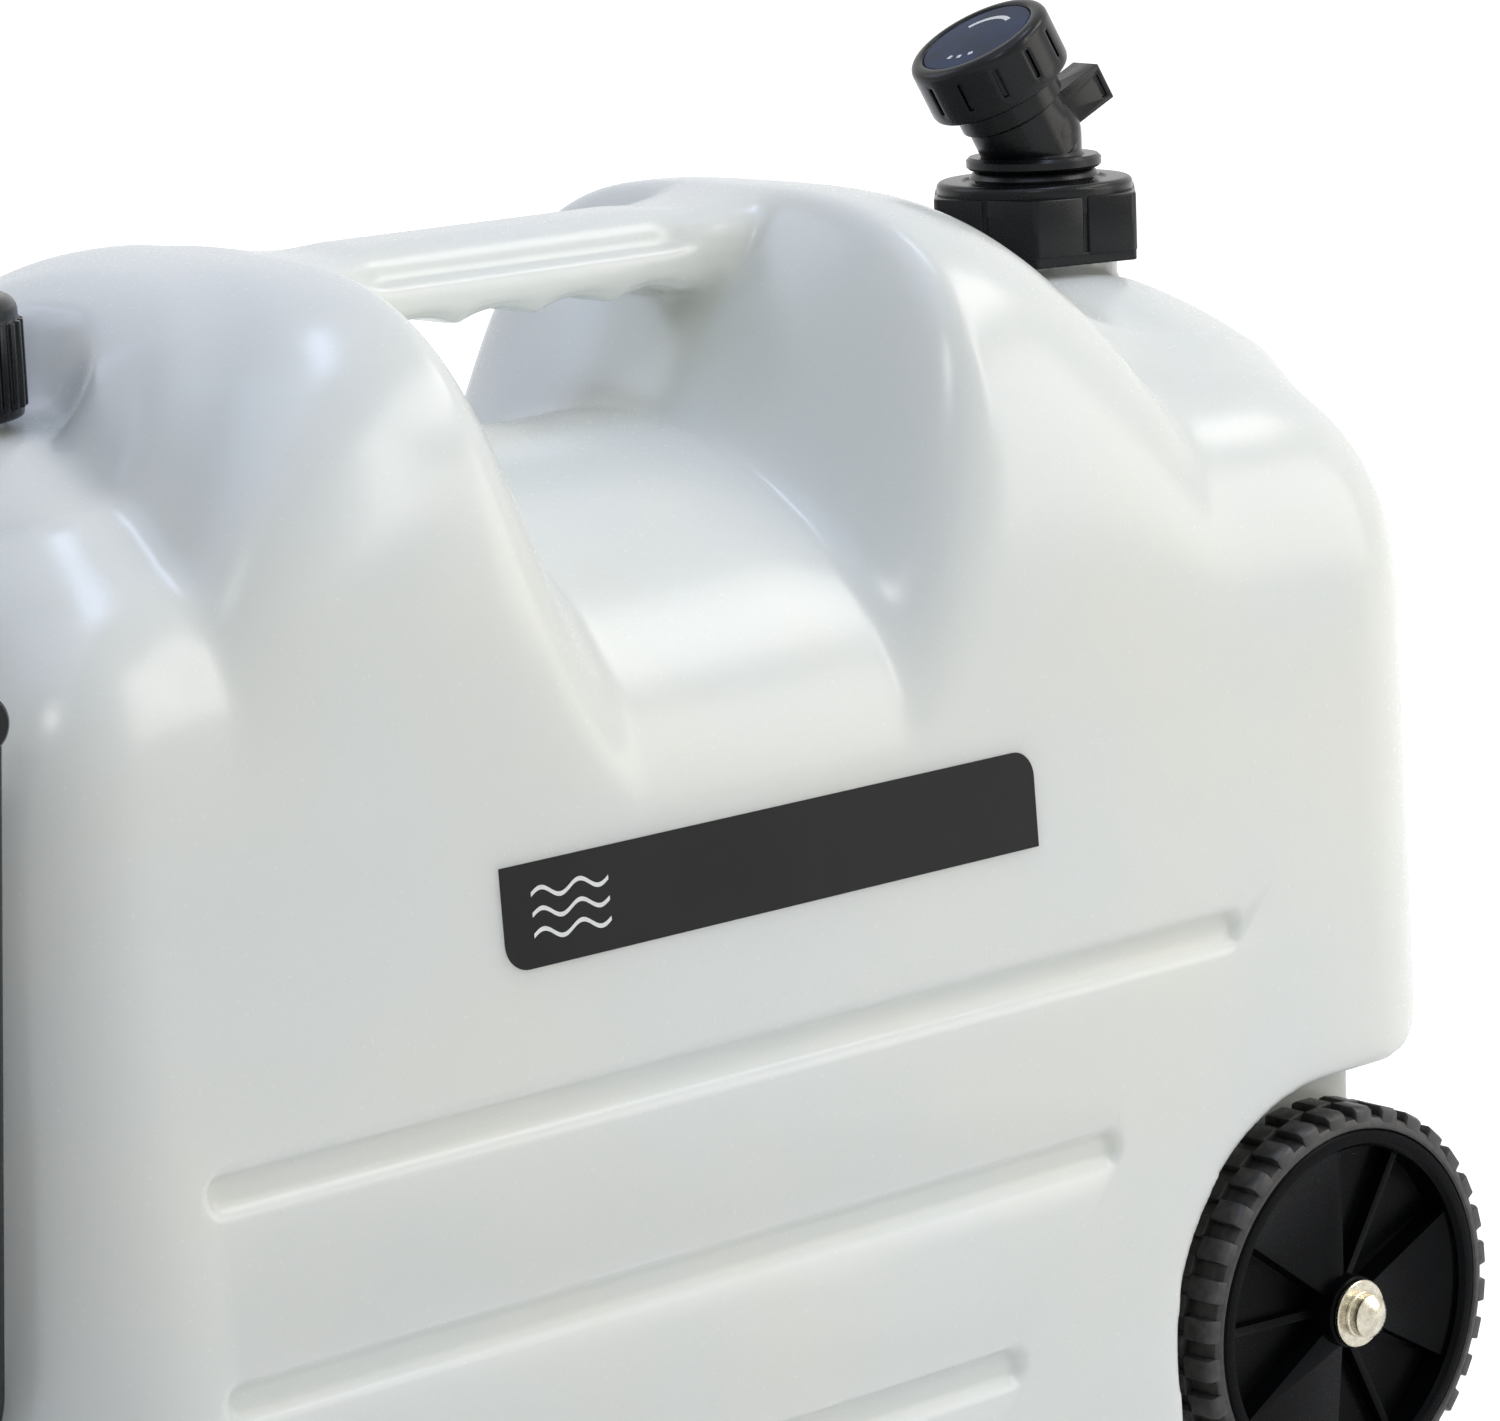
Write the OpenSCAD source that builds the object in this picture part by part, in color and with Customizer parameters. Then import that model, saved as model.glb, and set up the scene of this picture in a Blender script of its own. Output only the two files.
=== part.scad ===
// Rolling water carrier: a blow moulded tank on two wheels, with a carry grip,
// a swivelling tap, a filler cap and a fold out tow handle.
// Millimetres, +Z up, wheels at the +X end, label on the -Y side, floor at Z = 0.

/* [Tank] */
// length over the upper end walls
tank_l = 483; // [478:1:488]
// depth over the walls at the floor
tank_d = 242; // [238:1:248]
// lean of the front and back faces, run over rise
face_lean = 0.059; // [0.05:0.001:0.065]
// share of the length lost between the spring line and the floor
end_taper = 0.03; // [0.02:0.005:0.035]
// height at which the flat faces turn into the crown
spring_z = 232; // [228:1:236]
// wall thickness of the moulding
wall = 4; // [3.5:0.1:4.5]
// plan radius of the upright corners
corner_r = 42; // [38:1:46]
// radius of the end shoulders seen from the front
end_r = 61; // [58:1:64]
// radius of the bottom edges
base_r = 18; // [14:1:20]

/* [Crown] */
// height of the valley under the grip
valley_z = 316; // [313:1:319]
// height of the shoulders that carry the necks
shoulder_z = 322.5; // [320:0.5:324]
// height of the two humps
hump_z = 371.5; // [369:0.5:374]
// roundness across the valley
valley_n = 1.9; // [1.8:0.1:2.1]
// roundness across the shoulders
shoulder_n = 3.3; // [3.1:0.1:3.6]
// roundness across the humps
hump_n = 3.4; // [3.1:0.1:3.6]
// offset of the valley from the middle of the tank
hump_shift = -11.4; // [-13:0.2:-9]
// foot of the inner hump flank from the valley middle
flank_in = 41; // [39:1:43]
// top of the inner hump flank from the valley middle
flank_top = 85.5; // [82:0.5:88]
// start of the outer fall of a hump
fall_in = 87.5; // [84:0.5:90]
// end of the outer fall of a hump
fall_out = 159.5; // [156:0.5:162]
// rise of the round plinths under the necks
plinth_h = 14.5; // [12:0.5:15]

/* [Grip bar] */
// width of the grip bar
grip_w = 40; // [36:1:44]
// height of the grip bar
grip_h = 21; // [19:1:23]
// height of the middle of the grip bar
grip_z = 357; // [355:1:358]
// spacing of the finger scallops under the grip
finger_w = 26; // [24:0.5:27]

/* [Necks and caps] */
// distance of each neck from the end wall next to it
neck_in = 54.5; // [53:0.5:57]
// outer radius of a neck
neck_r = 22.5; // [21:0.5:23]
// height of the neck rims
neck_top = 352; // [350:1:354]
// bore radius of a neck
neck_bore = 19; // [17:0.5:19.5]
// rise of the two start thread per turn
thread_lead = 12; // [10:1:14]
// distance across the flats of the tap collar
collar_af = 56; // [54:0.5:58]
// outer radius of the filler cap
cap_r = 28.5; // [27.5:0.5:30]
// height of the filler cap
cap_h = 29; // [26:1:32]

/* [Tap] */
// tilt of the valve barrel from upright
barrel_tilt = 28.5; // [25:0.5:35]
// swivel of the tap about its upright tube
tap_yaw = -10; // [-40:1:40]
// radius of the upright tap tube
tube_r = 13.6; // [13:0.1:14]
// radius of the ring on the tube
ring_r = 18.9; // [18:0.1:19.4]
// radius of the valve knob
knob_r = 20.6; // [20:0.1:22]
// height of the valve knob
knob_h = 17; // [14:0.5:18]
// width of the outlet nozzle
nozzle_w = 12; // [11:0.2:13]
// height of the outlet nozzle along the barrel
nozzle_t = 11; // [11:0.2:12.6]
// reach of the nozzle from the barrel axis
nozzle_l = 27.4; // [27:0.1:32]

/* [Wheels] */
// wheel radius over the tread
wheel_r = 56.5; // [54:0.5:58]
// distance of the axle from the upper end wall
wheel_in = 63.1; // [60:0.1:65]
// height of the axle
wheel_z = 58.5; // [58.5:0.5:62]
// width of a tyre
tyre_w = 20; // [16:0.5:22]
// tread blocks on each row
lugs = 32; // [28:2:36]
// radius of the axle rod
axle_r = 4; // [3.5:0.1:4.5]
// gap between tread and wheel arch
arch_gap = 8.5; // [8:0.5:12]

/* [Tow handle] */
// outer width of the tow handle at its pivots
tow_w = 231; // [220:1:232]
// outer width of the tow handle at its bar
tow_bar_w = 193; // [180:1:196]
// height of the tow handle pivots
tow_z = 290; // [286:1:294]
// drop of the handle bar below the pivots
tow_drop = 172; // [160:1:180]
// thickness of the handle bar
tow_t = 10; // [9:0.5:11]
// width of the handle legs
tow_leg = 12; // [11:0.5:14]
// length of the soft sleeve on the bar
sleeve_l = 100; // [80:1:110]

/* [Fits] */
// radial clearance of turning parts
run_fit = 0.05; // [0.02:0.01:0.09]
// gap between seated pieces
seat_gap = 0.05; // [0.02:0.01:0.08]
// gap between pieces that move past each other
free_gap = 0.5; // [0.3:0.1:0.8]

/* [Hidden] */

l2 = tank_l / 2;
neck_x = l2 - neck_in;
wheel_x = l2 - wheel_in;
beyond = 400;
below = 20;
w0 = tank_d / 2;
lean_deg = atan(face_lean);
crown_step = 10;
edge_turn = [0, 30, 60, 90];
well_r = wheel_r + arch_gap;
wheel_gap = 3;
wheel_face = w0 - face_lean * wheel_z + 1.5;
keel_y = wheel_face - tyre_w - wheel_gap;
keel_x = wheel_x + 26;
well_top = wheel_z + well_r;
low_corner_r = 36;
soft = 0.12;
fall_n = 2.46;
plinth_r = [61.5, 82];
cap_room = max(cap_r, collar_af / sqrt(3)) + 1;
rib_z = [171.4, 122.3, 73.2];
rib_end = [142, 91.5, 51.6];
rib_start = -188;
rib_half = 6;
rib_deep = 2.6;
label_x = [-101.7, 74.6];
label_z = [205.7, 231.2];
label_t = 0.6;
boss_r = 8;
boss_l = 16;

bush_r = axle_r + 3;
bush_flange = axle_r + 7;
bush_flange_t = 1.2;
bush_l = 22;
washer_t = 1.5;
hub_bore = axle_r + run_fit;
rim_r = wheel_r - 6;

gasket_t = 2.5;
gasket_top = neck_top + gasket_t;
collar_z0 = 340;
flange_t = 3.5;
flange_r = neck_r - 0.5;
flange_z = gasket_top + seat_gap;
lip_z = flange_z + flange_t + seat_gap;
collar_top = lip_z + 4;
thread_h = 1.5;
crest_r = neck_r + thread_h;
cap_bore = crest_r + 0.4;
swivel_r = 16.4;
ring_z = collar_top + 3;
p0_z = ring_z + 4.5;
barrel_r = 13.8;
barrel_top = 20.3;
knob_gap = 0.6;
plug_r = 9;
finger_deep = 2.7;
finger_r = (finger_w * finger_w / 4 + finger_deep * finger_deep) / (2 * finger_deep);
nozzle_bore = 4.2;
socket_deep = 15;
passage_r = 3.2;
nozzle_up = 6;
knob_slots = 12;
slot_w = 1.6;

pivot_x = -l2 - 5;
pin_r = 3.5;
eye_r = 6.5;
eye_w = 13;
bracket_y = [58, 78];
screw_z = [176, 214];

function mix(a, b, k) = a + (b - a) * k;
function smooth(a, b, x) = let (t = max(0, min(1, (x - a) / (b - a)))) t * t * (3 - 2 * t);
function round_in(ax, r, l) = let (d = ax - (l - r)) d > 0 ? r - sqrt(max(r * r - d * d, 0)) : 0;
function half_w(z) = w0 - face_lean * z;
function end_x(x, z) = z < spring_z ? x * (1 - end_taper * (spring_z - z) / spring_z) : x;
function dome(u, n) = pow(max(0, 1 - pow(abs(u), n)), 1 / n);

// share of the hump height at a distance from the valley middle
function soft_top(q) = (q + sqrt(q * q + soft * soft)) / (1 + sqrt(1 + soft * soft));
function hump_fall(t) = t >= 1.5 ? 0 : soft_top(1 - pow(t, fall_n));
function hump(a, g) = smooth(flank_in + g, flank_top + g, a)
    * hump_fall(max(0, (a + g - fall_in) / (fall_out - fall_in)));

// half depth at the spring line and height of the crown above it
function crown_w(x, g) = half_w(spring_z) - g - round_in(abs(x), corner_r - g, l2 - g);
function crown(x, u, g) =
    let (ax = abs(x))
    let (k = smooth(70, 150, ax))
    let (top = mix(valley_z, shoulder_z, k) - g - round_in(ax, end_r - g, l2 - g) - spring_z)
    let (r = norm([ax - neck_x, crown_w(x, g) * u]))
    let (h = hump(abs(x - hump_shift), g) * smooth(cap_room + g, cap_room + 13 + g, r))
    let (front = smooth(0.7, 1, crown_w(x, g) * abs(u) / max(r, 1)) * smooth(25, 60, r))
    let (plinth = plinth_h * (1 - 0.65 * front) * (1 - smooth(plinth_r[0], plinth_r[1], r)))
    let (low = top * dome(u, mix(valley_n, shoulder_n, k)) + plinth)
    let (high = (hump_z - g - spring_z) * dome(u, hump_n))
    mix(low, high, h);

// one closed upright section of the tank at a length x, inset by g
function edge_pts(x, g, s) = [for (t = edge_turn)
    let (y = half_w(base_r) - g - round_in(abs(x), corner_r - g, l2 - g) - (base_r - g) * (1 - cos(t)))
    let (z = base_r - (base_r - g) * sin(t))
    [end_x(x, z), s * y, z]];
function turned(v) = [for (i = [len(v) - 1:-1:0]) v[i]];
function section(x, g) = concat(turned(edge_pts(x, g, -1)),
    [for (a = [-90:crown_step:90]) [x, crown_w(x, g) * sin(a), spring_z + crown(x, sin(a), g)]],
    edge_pts(x, g, 1));
function half_stations(g) = concat([for (i = [0:18]) i * (l2 - end_r) / 18],
    [for (a = [8:10.25:90]) l2 - end_r + (end_r - g) * sin(a)]);
function stations(g) = let (h = half_stations(g)) concat([for (i = [len(h) - 1:-1:1]) -h[i]], h);

// solid form of the tank, inset by g
module tank_form(g) {
    xs = stations(g);
    n = len(xs);
    m = len(section(0, g));
    pts = [for (x = xs) each section(x, g)];
    skin = [for (i = [0:n - 2]) for (j = [0:m - 1]) let (k = (j + 1) % m)
        each [[i * m + j, i * m + k, (i + 1) * m + k], [i * m + j, (i + 1) * m + k, (i + 1) * m + j]]];
    half = floor(m / 2);
    low = [for (j = [0:half - 1]) each [[j, m - 1 - j, j + 1], [j + 1, m - 1 - j, m - 2 - j]]];
    e = (n - 1) * m;
    high = [for (f = low) [f[0] + e, f[2] + e, f[1] + e]];
    flat = function (f) f[0] != f[1] && f[1] != f[2] && f[0] != f[2];
    polyhedron(pts, [for (f = concat(skin, low, high)) if (flat(f)) f]);
}

// extrusion along Y of a shape drawn in X and Z
module along_y(y0, y1) translate([0, y1, 0]) rotate([90, 0, 0]) linear_extrude(y1 - y0) children();

// both sides of the tank
module both_sides() {
    children();
    mirror([0, 1, 0]) children();
}

// room for a wheel beside the keel, grown by g
module well_shape(g) {
    translate([wheel_x, wheel_z]) circle(well_r + g, $fn = 72);
    translate([wheel_x - well_r - g, -below]) square([beyond, wheel_z + below]);
    translate([wheel_x, -below]) square([beyond, well_top + g + below]);
}
module low_corner(g) {
    c = [end_x(l2, well_top) - low_corner_r, well_top + low_corner_r];
    difference() {
        translate([c[0], -below]) square([beyond, c[1] + below]);
        translate(c) circle(low_corner_r - g, $fn = 48);
    }
}
module wheel_wells(g) {
    both_sides() along_y(-beyond, -keel_y + g) well_shape(g);
    along_y(-beyond, beyond) translate([keel_x - g, -below]) square([beyond, well_top + g + below]);
    along_y(-beyond, beyond) low_corner(g);
}

// long grooves in the front and back faces
module rib_groove(x0, x1, z, g) {
    hull() for (x = [x0, x1])
        translate([x, -half_w(z), z]) scale([1, (rib_deep + g) / (rib_half + g), 1])
            sphere(rib_half + g, $fn = 20);
}
module ribs(g) both_sides() for (i = [0:2]) rib_groove(rib_start, rib_end[i], rib_z[i], g);

// lies in the leaning front face, origin at its foot
module on_face(z) translate([0, -half_w(z), z]) rotate([-lean_deg, 0, 0]) children();

// rounded label outline, two corners square
module label_outline(grow) {
    r = 7;
    w = label_x[1] - label_x[0] + 2 * grow;
    h = label_z[1] - label_z[0] + 2 * grow;
    translate([label_x[0] - grow, -grow]) {
        translate([r, 0]) square([w - r, h - r]);
        translate([0, r]) square([w - r, h - r]);
        translate([r, r]) circle(r, $fn = 32);
        translate([w - r, h - r]) circle(r, $fn = 32);
    }
}
module label_solid(grow, t0, t1) on_face(label_z[0]) translate([0, t1, 0]) rotate([90, 0, 0])
    linear_extrude(t1 - t0) label_outline(grow);

// rounded bar between the humps with finger scallops below
module grip_bar() {
    x0 = hump_shift - flank_top;
    x1 = hump_shift + flank_top;
    r = 7;
    difference() {
        hull() for (y = [-1, 1]) for (z = [-1, 1])
            translate([x0, y * (grip_w / 2 - r), grip_z + z * (grip_h / 2 - r)])
                rotate([0, 90, 0]) cylinder(x1 - x0, r = r, $fn = 24);
        for (i = [-1.5:1.5])
            translate([hump_shift + 4 + i * finger_w, 0, grip_z - grip_h / 2 + finger_deep - finger_r])
            rotate([90, 0, 0]) cylinder(grip_w + 2, r = finger_r, center = true, $fn = 96);
        for (y = [-9, 0, 9]) translate([x0 - 1, y, grip_z + grip_h / 2 + 2.4])
            rotate([0, 90, 0]) cylinder(x1 - x0 + 2, r = 4, $fn = 20);
    }
}

// helical ridge with two starts, wide at the root, from turn t0 to turn t1
thread_z = neck_top - 10.5;
module thread(root, crest, z0, t0, t1) {
    steps = 20;
    n = round(steps * (t1 - t0));
    wide = 3;
    narrow = 1.2;
    ring = [[root, -wide / 2], [crest, -narrow / 2], [crest, narrow / 2], [root, wide / 2]];
    pts = [for (i = [0:n]) for (q = ring)
        let (t = t0 + i / steps)
        [q[0] * cos(360 * t), q[0] * sin(360 * t), z0 + thread_lead * t + q[1]]];
    skin = [for (i = [0:n - 1]) for (j = [0:3]) let (k = (j + 1) % 4)
        each [[i * 4 + j, i * 4 + k, i * 4 + 4 + k], [i * 4 + j, i * 4 + 4 + k, i * 4 + 4 + j]]];
    ends = [[0, 2, 1], [0, 3, 2], [n * 4, n * 4 + 1, n * 4 + 2], [n * 4, n * 4 + 2, n * 4 + 3]];
    faces = [for (f = concat(skin, ends)) crest > root ? f : [f[0], f[2], f[1]]];
    for (s = [0, 180]) rotate(s) polyhedron(pts, faces);
}

module neck(side) translate([side * neck_x, 0, 0]) {
    translate([0, 0, 290]) cylinder(neck_top - 290, r = neck_r, $fn = 64);
    thread(neck_r - 0.5, crest_r, thread_z, 0, 0.6);
}

// matching ridge inside a cap, midway between the ridges of the neck
module cap_thread() thread(cap_bore + 0.5, neck_r + 0.4, thread_z - thread_lead / 4, 0.3, 0.75);

module screw_points() both_sides() for (z = screw_z)
    translate([0, -(bracket_y[0] + bracket_y[1]) / 2, z]) children();

// tank moulding with necks, grip and wheel arches in one piece
module tank_shell() color("whitesmoke") difference() {
    union() {
        difference() {
            tank_form(0);
            wheel_wells(0);
            ribs(0);
            label_solid(1.5, -5, label_t);
        }
        grip_bar();
        for (s = [-1, 1]) neck(s);
    }
    difference() {
        tank_form(wall);
        wheel_wells(wall);
        ribs(wall);
        translate([wheel_x, 0, wheel_z]) rotate([90, 0, 0])
            cylinder(tank_d, r = bush_r + wall, center = true, $fn = 40);
        screw_points() translate([-l2, 0, 0]) rotate([0, 90, 0]) cylinder(boss_l + 6, r = boss_r, $fn = 24);
    }
    for (s = [-1, 1]) translate([s * neck_x, 0, 280]) cylinder(100, r = neck_bore, $fn = 64);
    translate([wheel_x, 0, wheel_z]) rotate([90, 0, 0])
        cylinder(tank_d, r = bush_r + seat_gap, center = true, $fn = 48);
    screw_points() translate([-l2 - 5, 0, 0]) rotate([0, 90, 0]) cylinder(5 + 14, r = 2.2, $fn = 20);
}

// plain dark label in its shallow seat
module label_plate() color("black") label_solid(0, seat_gap, label_t - seat_gap);

// steel axle through the keel
axle_half = wheel_face + 7;
module axle_rod() color("silver") translate([wheel_x, 0, wheel_z]) rotate([90, 0, 0])
    cylinder(2 * axle_half, r = axle_r, center = true, $fn = 48);

// ring standing on the axle, from y to y - t on the front side
module axle_ring(y, t, r_in, r_out) both_sides() translate([wheel_x, -y, wheel_z]) rotate([90, 0, 0])
    difference() {
        cylinder(t, r = r_out, $fn = 64);
        translate([0, 0, -1]) cylinder(t + 2, r = r_in, $fn = 48);
    }

// flanged bushes in the keel sides
module axle_bushes() color("dimgray") {
    axle_ring(keel_y - bush_l, bush_l + 0.5, axle_r + seat_gap, bush_r);
    axle_ring(keel_y + seat_gap, bush_flange_t, axle_r + seat_gap, bush_flange);
}

wash_y = keel_y + seat_gap + bush_flange_t + seat_gap;
module inner_washers() color("silver") axle_ring(wash_y, 1, axle_r + seat_gap, axle_r + 6);

hub_y0 = wash_y + 1 + 0.3;
hub_y1 = wheel_face + 1.5;
module outer_washers() color("silver") axle_ring(hub_y1 + 0.3, washer_t, axle_r + seat_gap, 9.3);

// domed push on caps over the axle ends
cap_y = hub_y1 + 0.3 + washer_t + seat_gap;
cap_len = axle_half - cap_y;
module axle_caps() color("silver") both_sides() translate([wheel_x, -cap_y, wheel_z]) rotate([90, 0, 0])
    difference() {
        rotate_extrude($fn = 64) {
            square([6, cap_len]);
            translate([0, cap_len]) intersection() {
                translate([0, -6.5]) circle(r = sqrt(36 + 42.25), $fn = 64);
                square([6, 6]);
            }
        }
        translate([0, 0, -1]) cylinder(cap_len + 1 + seat_gap, r = axle_r + seat_gap, $fn = 48);
    }

// wheel centre with three fan shaped spokes between deep pockets, front face towards -Y
rim_in = rim_r - 5;
rim_y = wheel_face - tyre_w + 0.5;
web_y = wheel_face - 10;
fan_y = wheel_face - 3;
module fan_sector(a, wide) {
    r = rim_r - 2;
    polygon([[0, 0], for (t = [a - wide / 2:wide / 6:a + wide / 2 + 0.1]) r * [cos(t), sin(t)]]);
}
module pocket_rib(a) rotate(a) translate([0, -1.2]) square([rim_r - 3, 2.4]);
module wheel_part(y0, y1) translate([wheel_x, -y0, wheel_z]) rotate([90, 0, 0])
    linear_extrude(y1 - y0) children();
module hub_solid() difference() {
    union() {
        wheel_part(rim_y, wheel_face) difference() {
            circle(rim_r, $fn = 96);
            circle(rim_in, $fn = 96);
        }
        wheel_part(rim_y + 3, web_y) circle(rim_in + 1, $fn = 96);
        wheel_part(rim_y + 3, fan_y) intersection() {
            circle(rim_in + 1, $fn = 96);
            for (a = [117, -3, 237]) fan_sector(a, 54);
        }
        wheel_part(rim_y + 3, web_y + 4) for (a = [57, 177, 297]) pocket_rib(a);
        wheel_part(hub_y0, hub_y1) circle(10, $fn = 64);
    }
    wheel_part(hub_y0 - 5, hub_y1 + 5) circle(hub_bore, $fn = 48);
}

// tyre ring with two staggered rows of tread blocks
function tread(shift) = [for (i = [0:lugs - 1]) for (q = [[0.06, 0], [0.14, 1], [0.60, 1], [0.68, 0]])
    let (a = (i + q[0] + shift) * 360 / lugs) (wheel_r - 2.6 + 2.6 * q[1]) * [cos(a), sin(a)]];
module tyre_solid() difference() {
    union() {
        wheel_part(wheel_face - tyre_w, wheel_face - tyre_w / 2) polygon(tread(0));
        wheel_part(wheel_face - tyre_w / 2, wheel_face) polygon(tread(0.5));
    }
    wheel_part(wheel_face - tyre_w - 5, wheel_face + 5) circle(rim_r + seat_gap, $fn = 96);
}

module front_wheel_hub() color("black") hub_solid();
module front_wheel_tyre() color("black") tyre_solid();
module back_wheel_hub() color("black") mirror([0, 1, 0]) hub_solid();
module back_wheel_tyre() color("black") mirror([0, 1, 0]) tyre_solid();

// bent brackets that hold the tow handle pivots off the end wall
plate_x = -end_x(l2, spring_z) - seat_gap;
function plate_out(z) = -end_x(l2, z) - 6;
module bracket_shape() difference() {
    union() {
        polygon([[plate_x, spring_z], [plate_x, spring_z + 12], [plate_x - 0.6, shoulder_z - end_r + 6],
            [pivot_x + 6, tow_z + 3], [pivot_x, tow_z + 8], [pivot_x - 8, tow_z],
            [plate_out(spring_z - 6), spring_z - 6], [plate_out(160), 160],
            [-end_x(l2, 160) - seat_gap, 160]]);
        translate([pivot_x, tow_z]) circle(8, $fn = 48);
    }
    translate([pivot_x, tow_z]) circle(pin_r + seat_gap, $fn = 48);
}
module handle_brackets() color("black") difference() {
    both_sides() along_y(-bracket_y[1], -bracket_y[0]) bracket_shape();
    screw_points() translate([-l2 - 20, 0, 0]) rotate([0, 90, 0]) cylinder(40, r = 2.7, $fn = 32);
}

// pan head screws, one form for all four
module bracket_screws() color("silver") both_sides() for (z = screw_z)
    translate([plate_out(z) - 0.2, -(bracket_y[0] + bracket_y[1]) / 2, z]) rotate([0, 90, 0]) {
        translate([0, 0, -1]) cylinder(18, r = 2.1, $fn = 32);
        translate([0, 0, -2.2]) cylinder(2.2, r = 4.4, $fn = 40);
    }

// steel pins that the handle legs turn on, blind in the legs
pin_in = bracket_y[0] - 3;
pin_out = tow_w / 2 - 3;
module pivot_pins() color("silver") eye(pin_r, pin_in, pin_out);

// spring rings that keep the pins in the brackets
module pin_clips() color("silver") both_sides() translate([pivot_x, -bracket_y[0] + seat_gap + 1.5, tow_z])
    rotate([90, 0, 0]) difference() {
        cylinder(1.5, r = pin_r + 2.5, $fn = 48);
        translate([0, 0, -1]) cylinder(4, r = pin_r + seat_gap, $fn = 48);
    }

// flat tow handle hanging on the end wall, its legs closing in towards the bar
bar_z = tow_z - tow_drop;
bend_r = 26;
sleeve_t = 2;
leg_lean = atan((tow_w - tow_bar_w) / 2 / tow_drop);
function leg_y(z) = tow_bar_w / 2 + (z - bar_z) * tan(leg_lean);
function u_half(inset, r, z0, z1) =
    let (c = [leg_y(z0 + r) - (inset + r) / cos(leg_lean), z0 + r])
    concat([for (i = [0:10]) let (a = -90 + (90 - leg_lean) * i / 10) c + r * [cos(a), sin(a)]],
        [[leg_y(z1) - inset / cos(leg_lean), z1]]);
function u_shape(h) = concat(h, [for (i = [len(h) - 1:-1:0]) [-h[i][0], h[i][1]]]);
module across_x(x0, x1) translate([x0, 0, 0]) rotate([90, 0, 90]) linear_extrude(x1 - x0) children();
module eye(r, y0, y1) both_sides() translate([pivot_x, -y0, tow_z]) rotate([90, 0, 0])
    cylinder(y1 - y0, r = r, $fn = 64);
module tow_handle_frame() color("black") difference() {
    union() {
        across_x(pivot_x - tow_t / 2, pivot_x + tow_t / 2) difference() {
            polygon(u_shape(u_half(0, bend_r, bar_z - tow_leg / 2, tow_z)));
            polygon(u_shape(u_half(tow_leg, bend_r - tow_leg, bar_z + tow_leg / 2, tow_z + 5)));
        }
        eye(eye_r, tow_w / 2 - eye_w, tow_w / 2);
    }
    eye(pin_r + run_fit, tow_w / 2 - eye_w - 5, pin_out + free_gap);
}

// soft sleeve round the handle bar
module tow_handle_grip() color("dimgray") difference() {
    translate([pivot_x - tow_t / 2 - sleeve_t, -sleeve_l / 2, bar_z - tow_leg / 2 - sleeve_t])
        cube([tow_t + 2 * sleeve_t, sleeve_l, tow_leg + 2 * sleeve_t]);
    translate([pivot_x - tow_t / 2 - seat_gap, -sleeve_l, bar_z - tow_leg / 2 - seat_gap])
        cube([tow_t + 2 * seat_gap, 2 * sleeve_l, tow_leg + 2 * seat_gap]);
}

// flat seal on a neck rim
module gasket(side) translate([side * neck_x, 0, neck_top + seat_gap]) difference() {
    cylinder(gasket_t - seat_gap, r = neck_r, $fn = 64);
    translate([0, 0, -1]) cylinder(gasket_t + 2, r = neck_bore - 4, $fn = 64);
}
module fill_gasket() color("dimgray") gasket(-1);

// ribbed screw cap of the filler neck
cap_ribs = 36;
function knurl(r, n, deep) = [for (i = [0:n - 1]) for (q = [[0, 0], [0.2, 1], [0.5, 1], [0.7, 0]])
    let (a = (i + q[0]) * 360 / n) (r - deep + deep * q[1]) * [cos(a), sin(a)]];
module fill_cap() color("black") translate([-neck_x, 0, 0]) {
    difference() {
        union() {
            translate([0, 0, collar_z0]) linear_extrude(cap_h - 5) polygon(knurl(cap_r, cap_ribs, 1));
            translate([0, 0, collar_z0 + cap_h - 5.5])
                cylinder(5.5, r1 = cap_r - 1.2, r2 = cap_r - 4, $fn = 72);
        }
        translate([0, 0, collar_z0 - 1])
            cylinder(gasket_top + seat_gap - collar_z0 + 1, r = cap_bore, $fn = 64);
        translate([0, 0, gasket_top])
            cylinder(cap_h - 4 - (gasket_top - collar_z0), r = neck_bore, $fn = 64);
    }
    cap_thread();
}

module tap_gasket() color("dimgray") gasket(1);

// six sided union nut of the tap, each flat with a groove down its middle
collar_turn = 45.6;
module tap_collar() color("black") translate([neck_x, 0, 0]) {
    difference() {
        union() {
            intersection() {
                translate([0, 0, collar_z0]) rotate(collar_turn)
                    cylinder(collar_top - 3.4 - collar_z0, r = collar_af / sqrt(3), $fn = 6);
                translate([0, 0, collar_z0])
                    cylinder(collar_top - collar_z0, r = collar_af / 2 + 3.8, $fn = 72);
            }
            translate([0, 0, collar_top - 7]) cylinder(4, r = collar_af / 2 - 0.4, $fn = 72);
            translate([0, 0, collar_top - 3.5])
                cylinder(3.5, r1 = collar_af / 2 - 0.6, r2 = collar_af / 2 - 2.4, $fn = 72);
        }
        translate([0, 0, collar_z0 - 1]) cylinder(lip_z - collar_z0 + 1, r = cap_bore, $fn = 64);
        cylinder(collar_top + 10, r = swivel_r + run_fit, $fn = 64);
        for (i = [0:5]) rotate(collar_turn + 30 + i * 60) translate([collar_af / 2 - 1, -1, collar_z0 + 3])
            cube([6, 2, collar_top - collar_z0 - 9.4]);
    }
    cap_thread();
}

// low friction ring between collar lip and tap flange
module swivel_washer() color("gainsboro") translate([neck_x, 0, 0]) difference() {
    translate([0, 0, lip_z - seat_gap - 1]) cylinder(1 - seat_gap, r = flange_r, $fn = 64);
    cylinder(collar_top, r = swivel_r + run_fit, $fn = 64);
}

// frame of the tilted barrel, +Z along its axis
module on_barrel() translate([neck_x, 0, p0_z]) rotate([0, -barrel_tilt, tap_yaw]) children();

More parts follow.
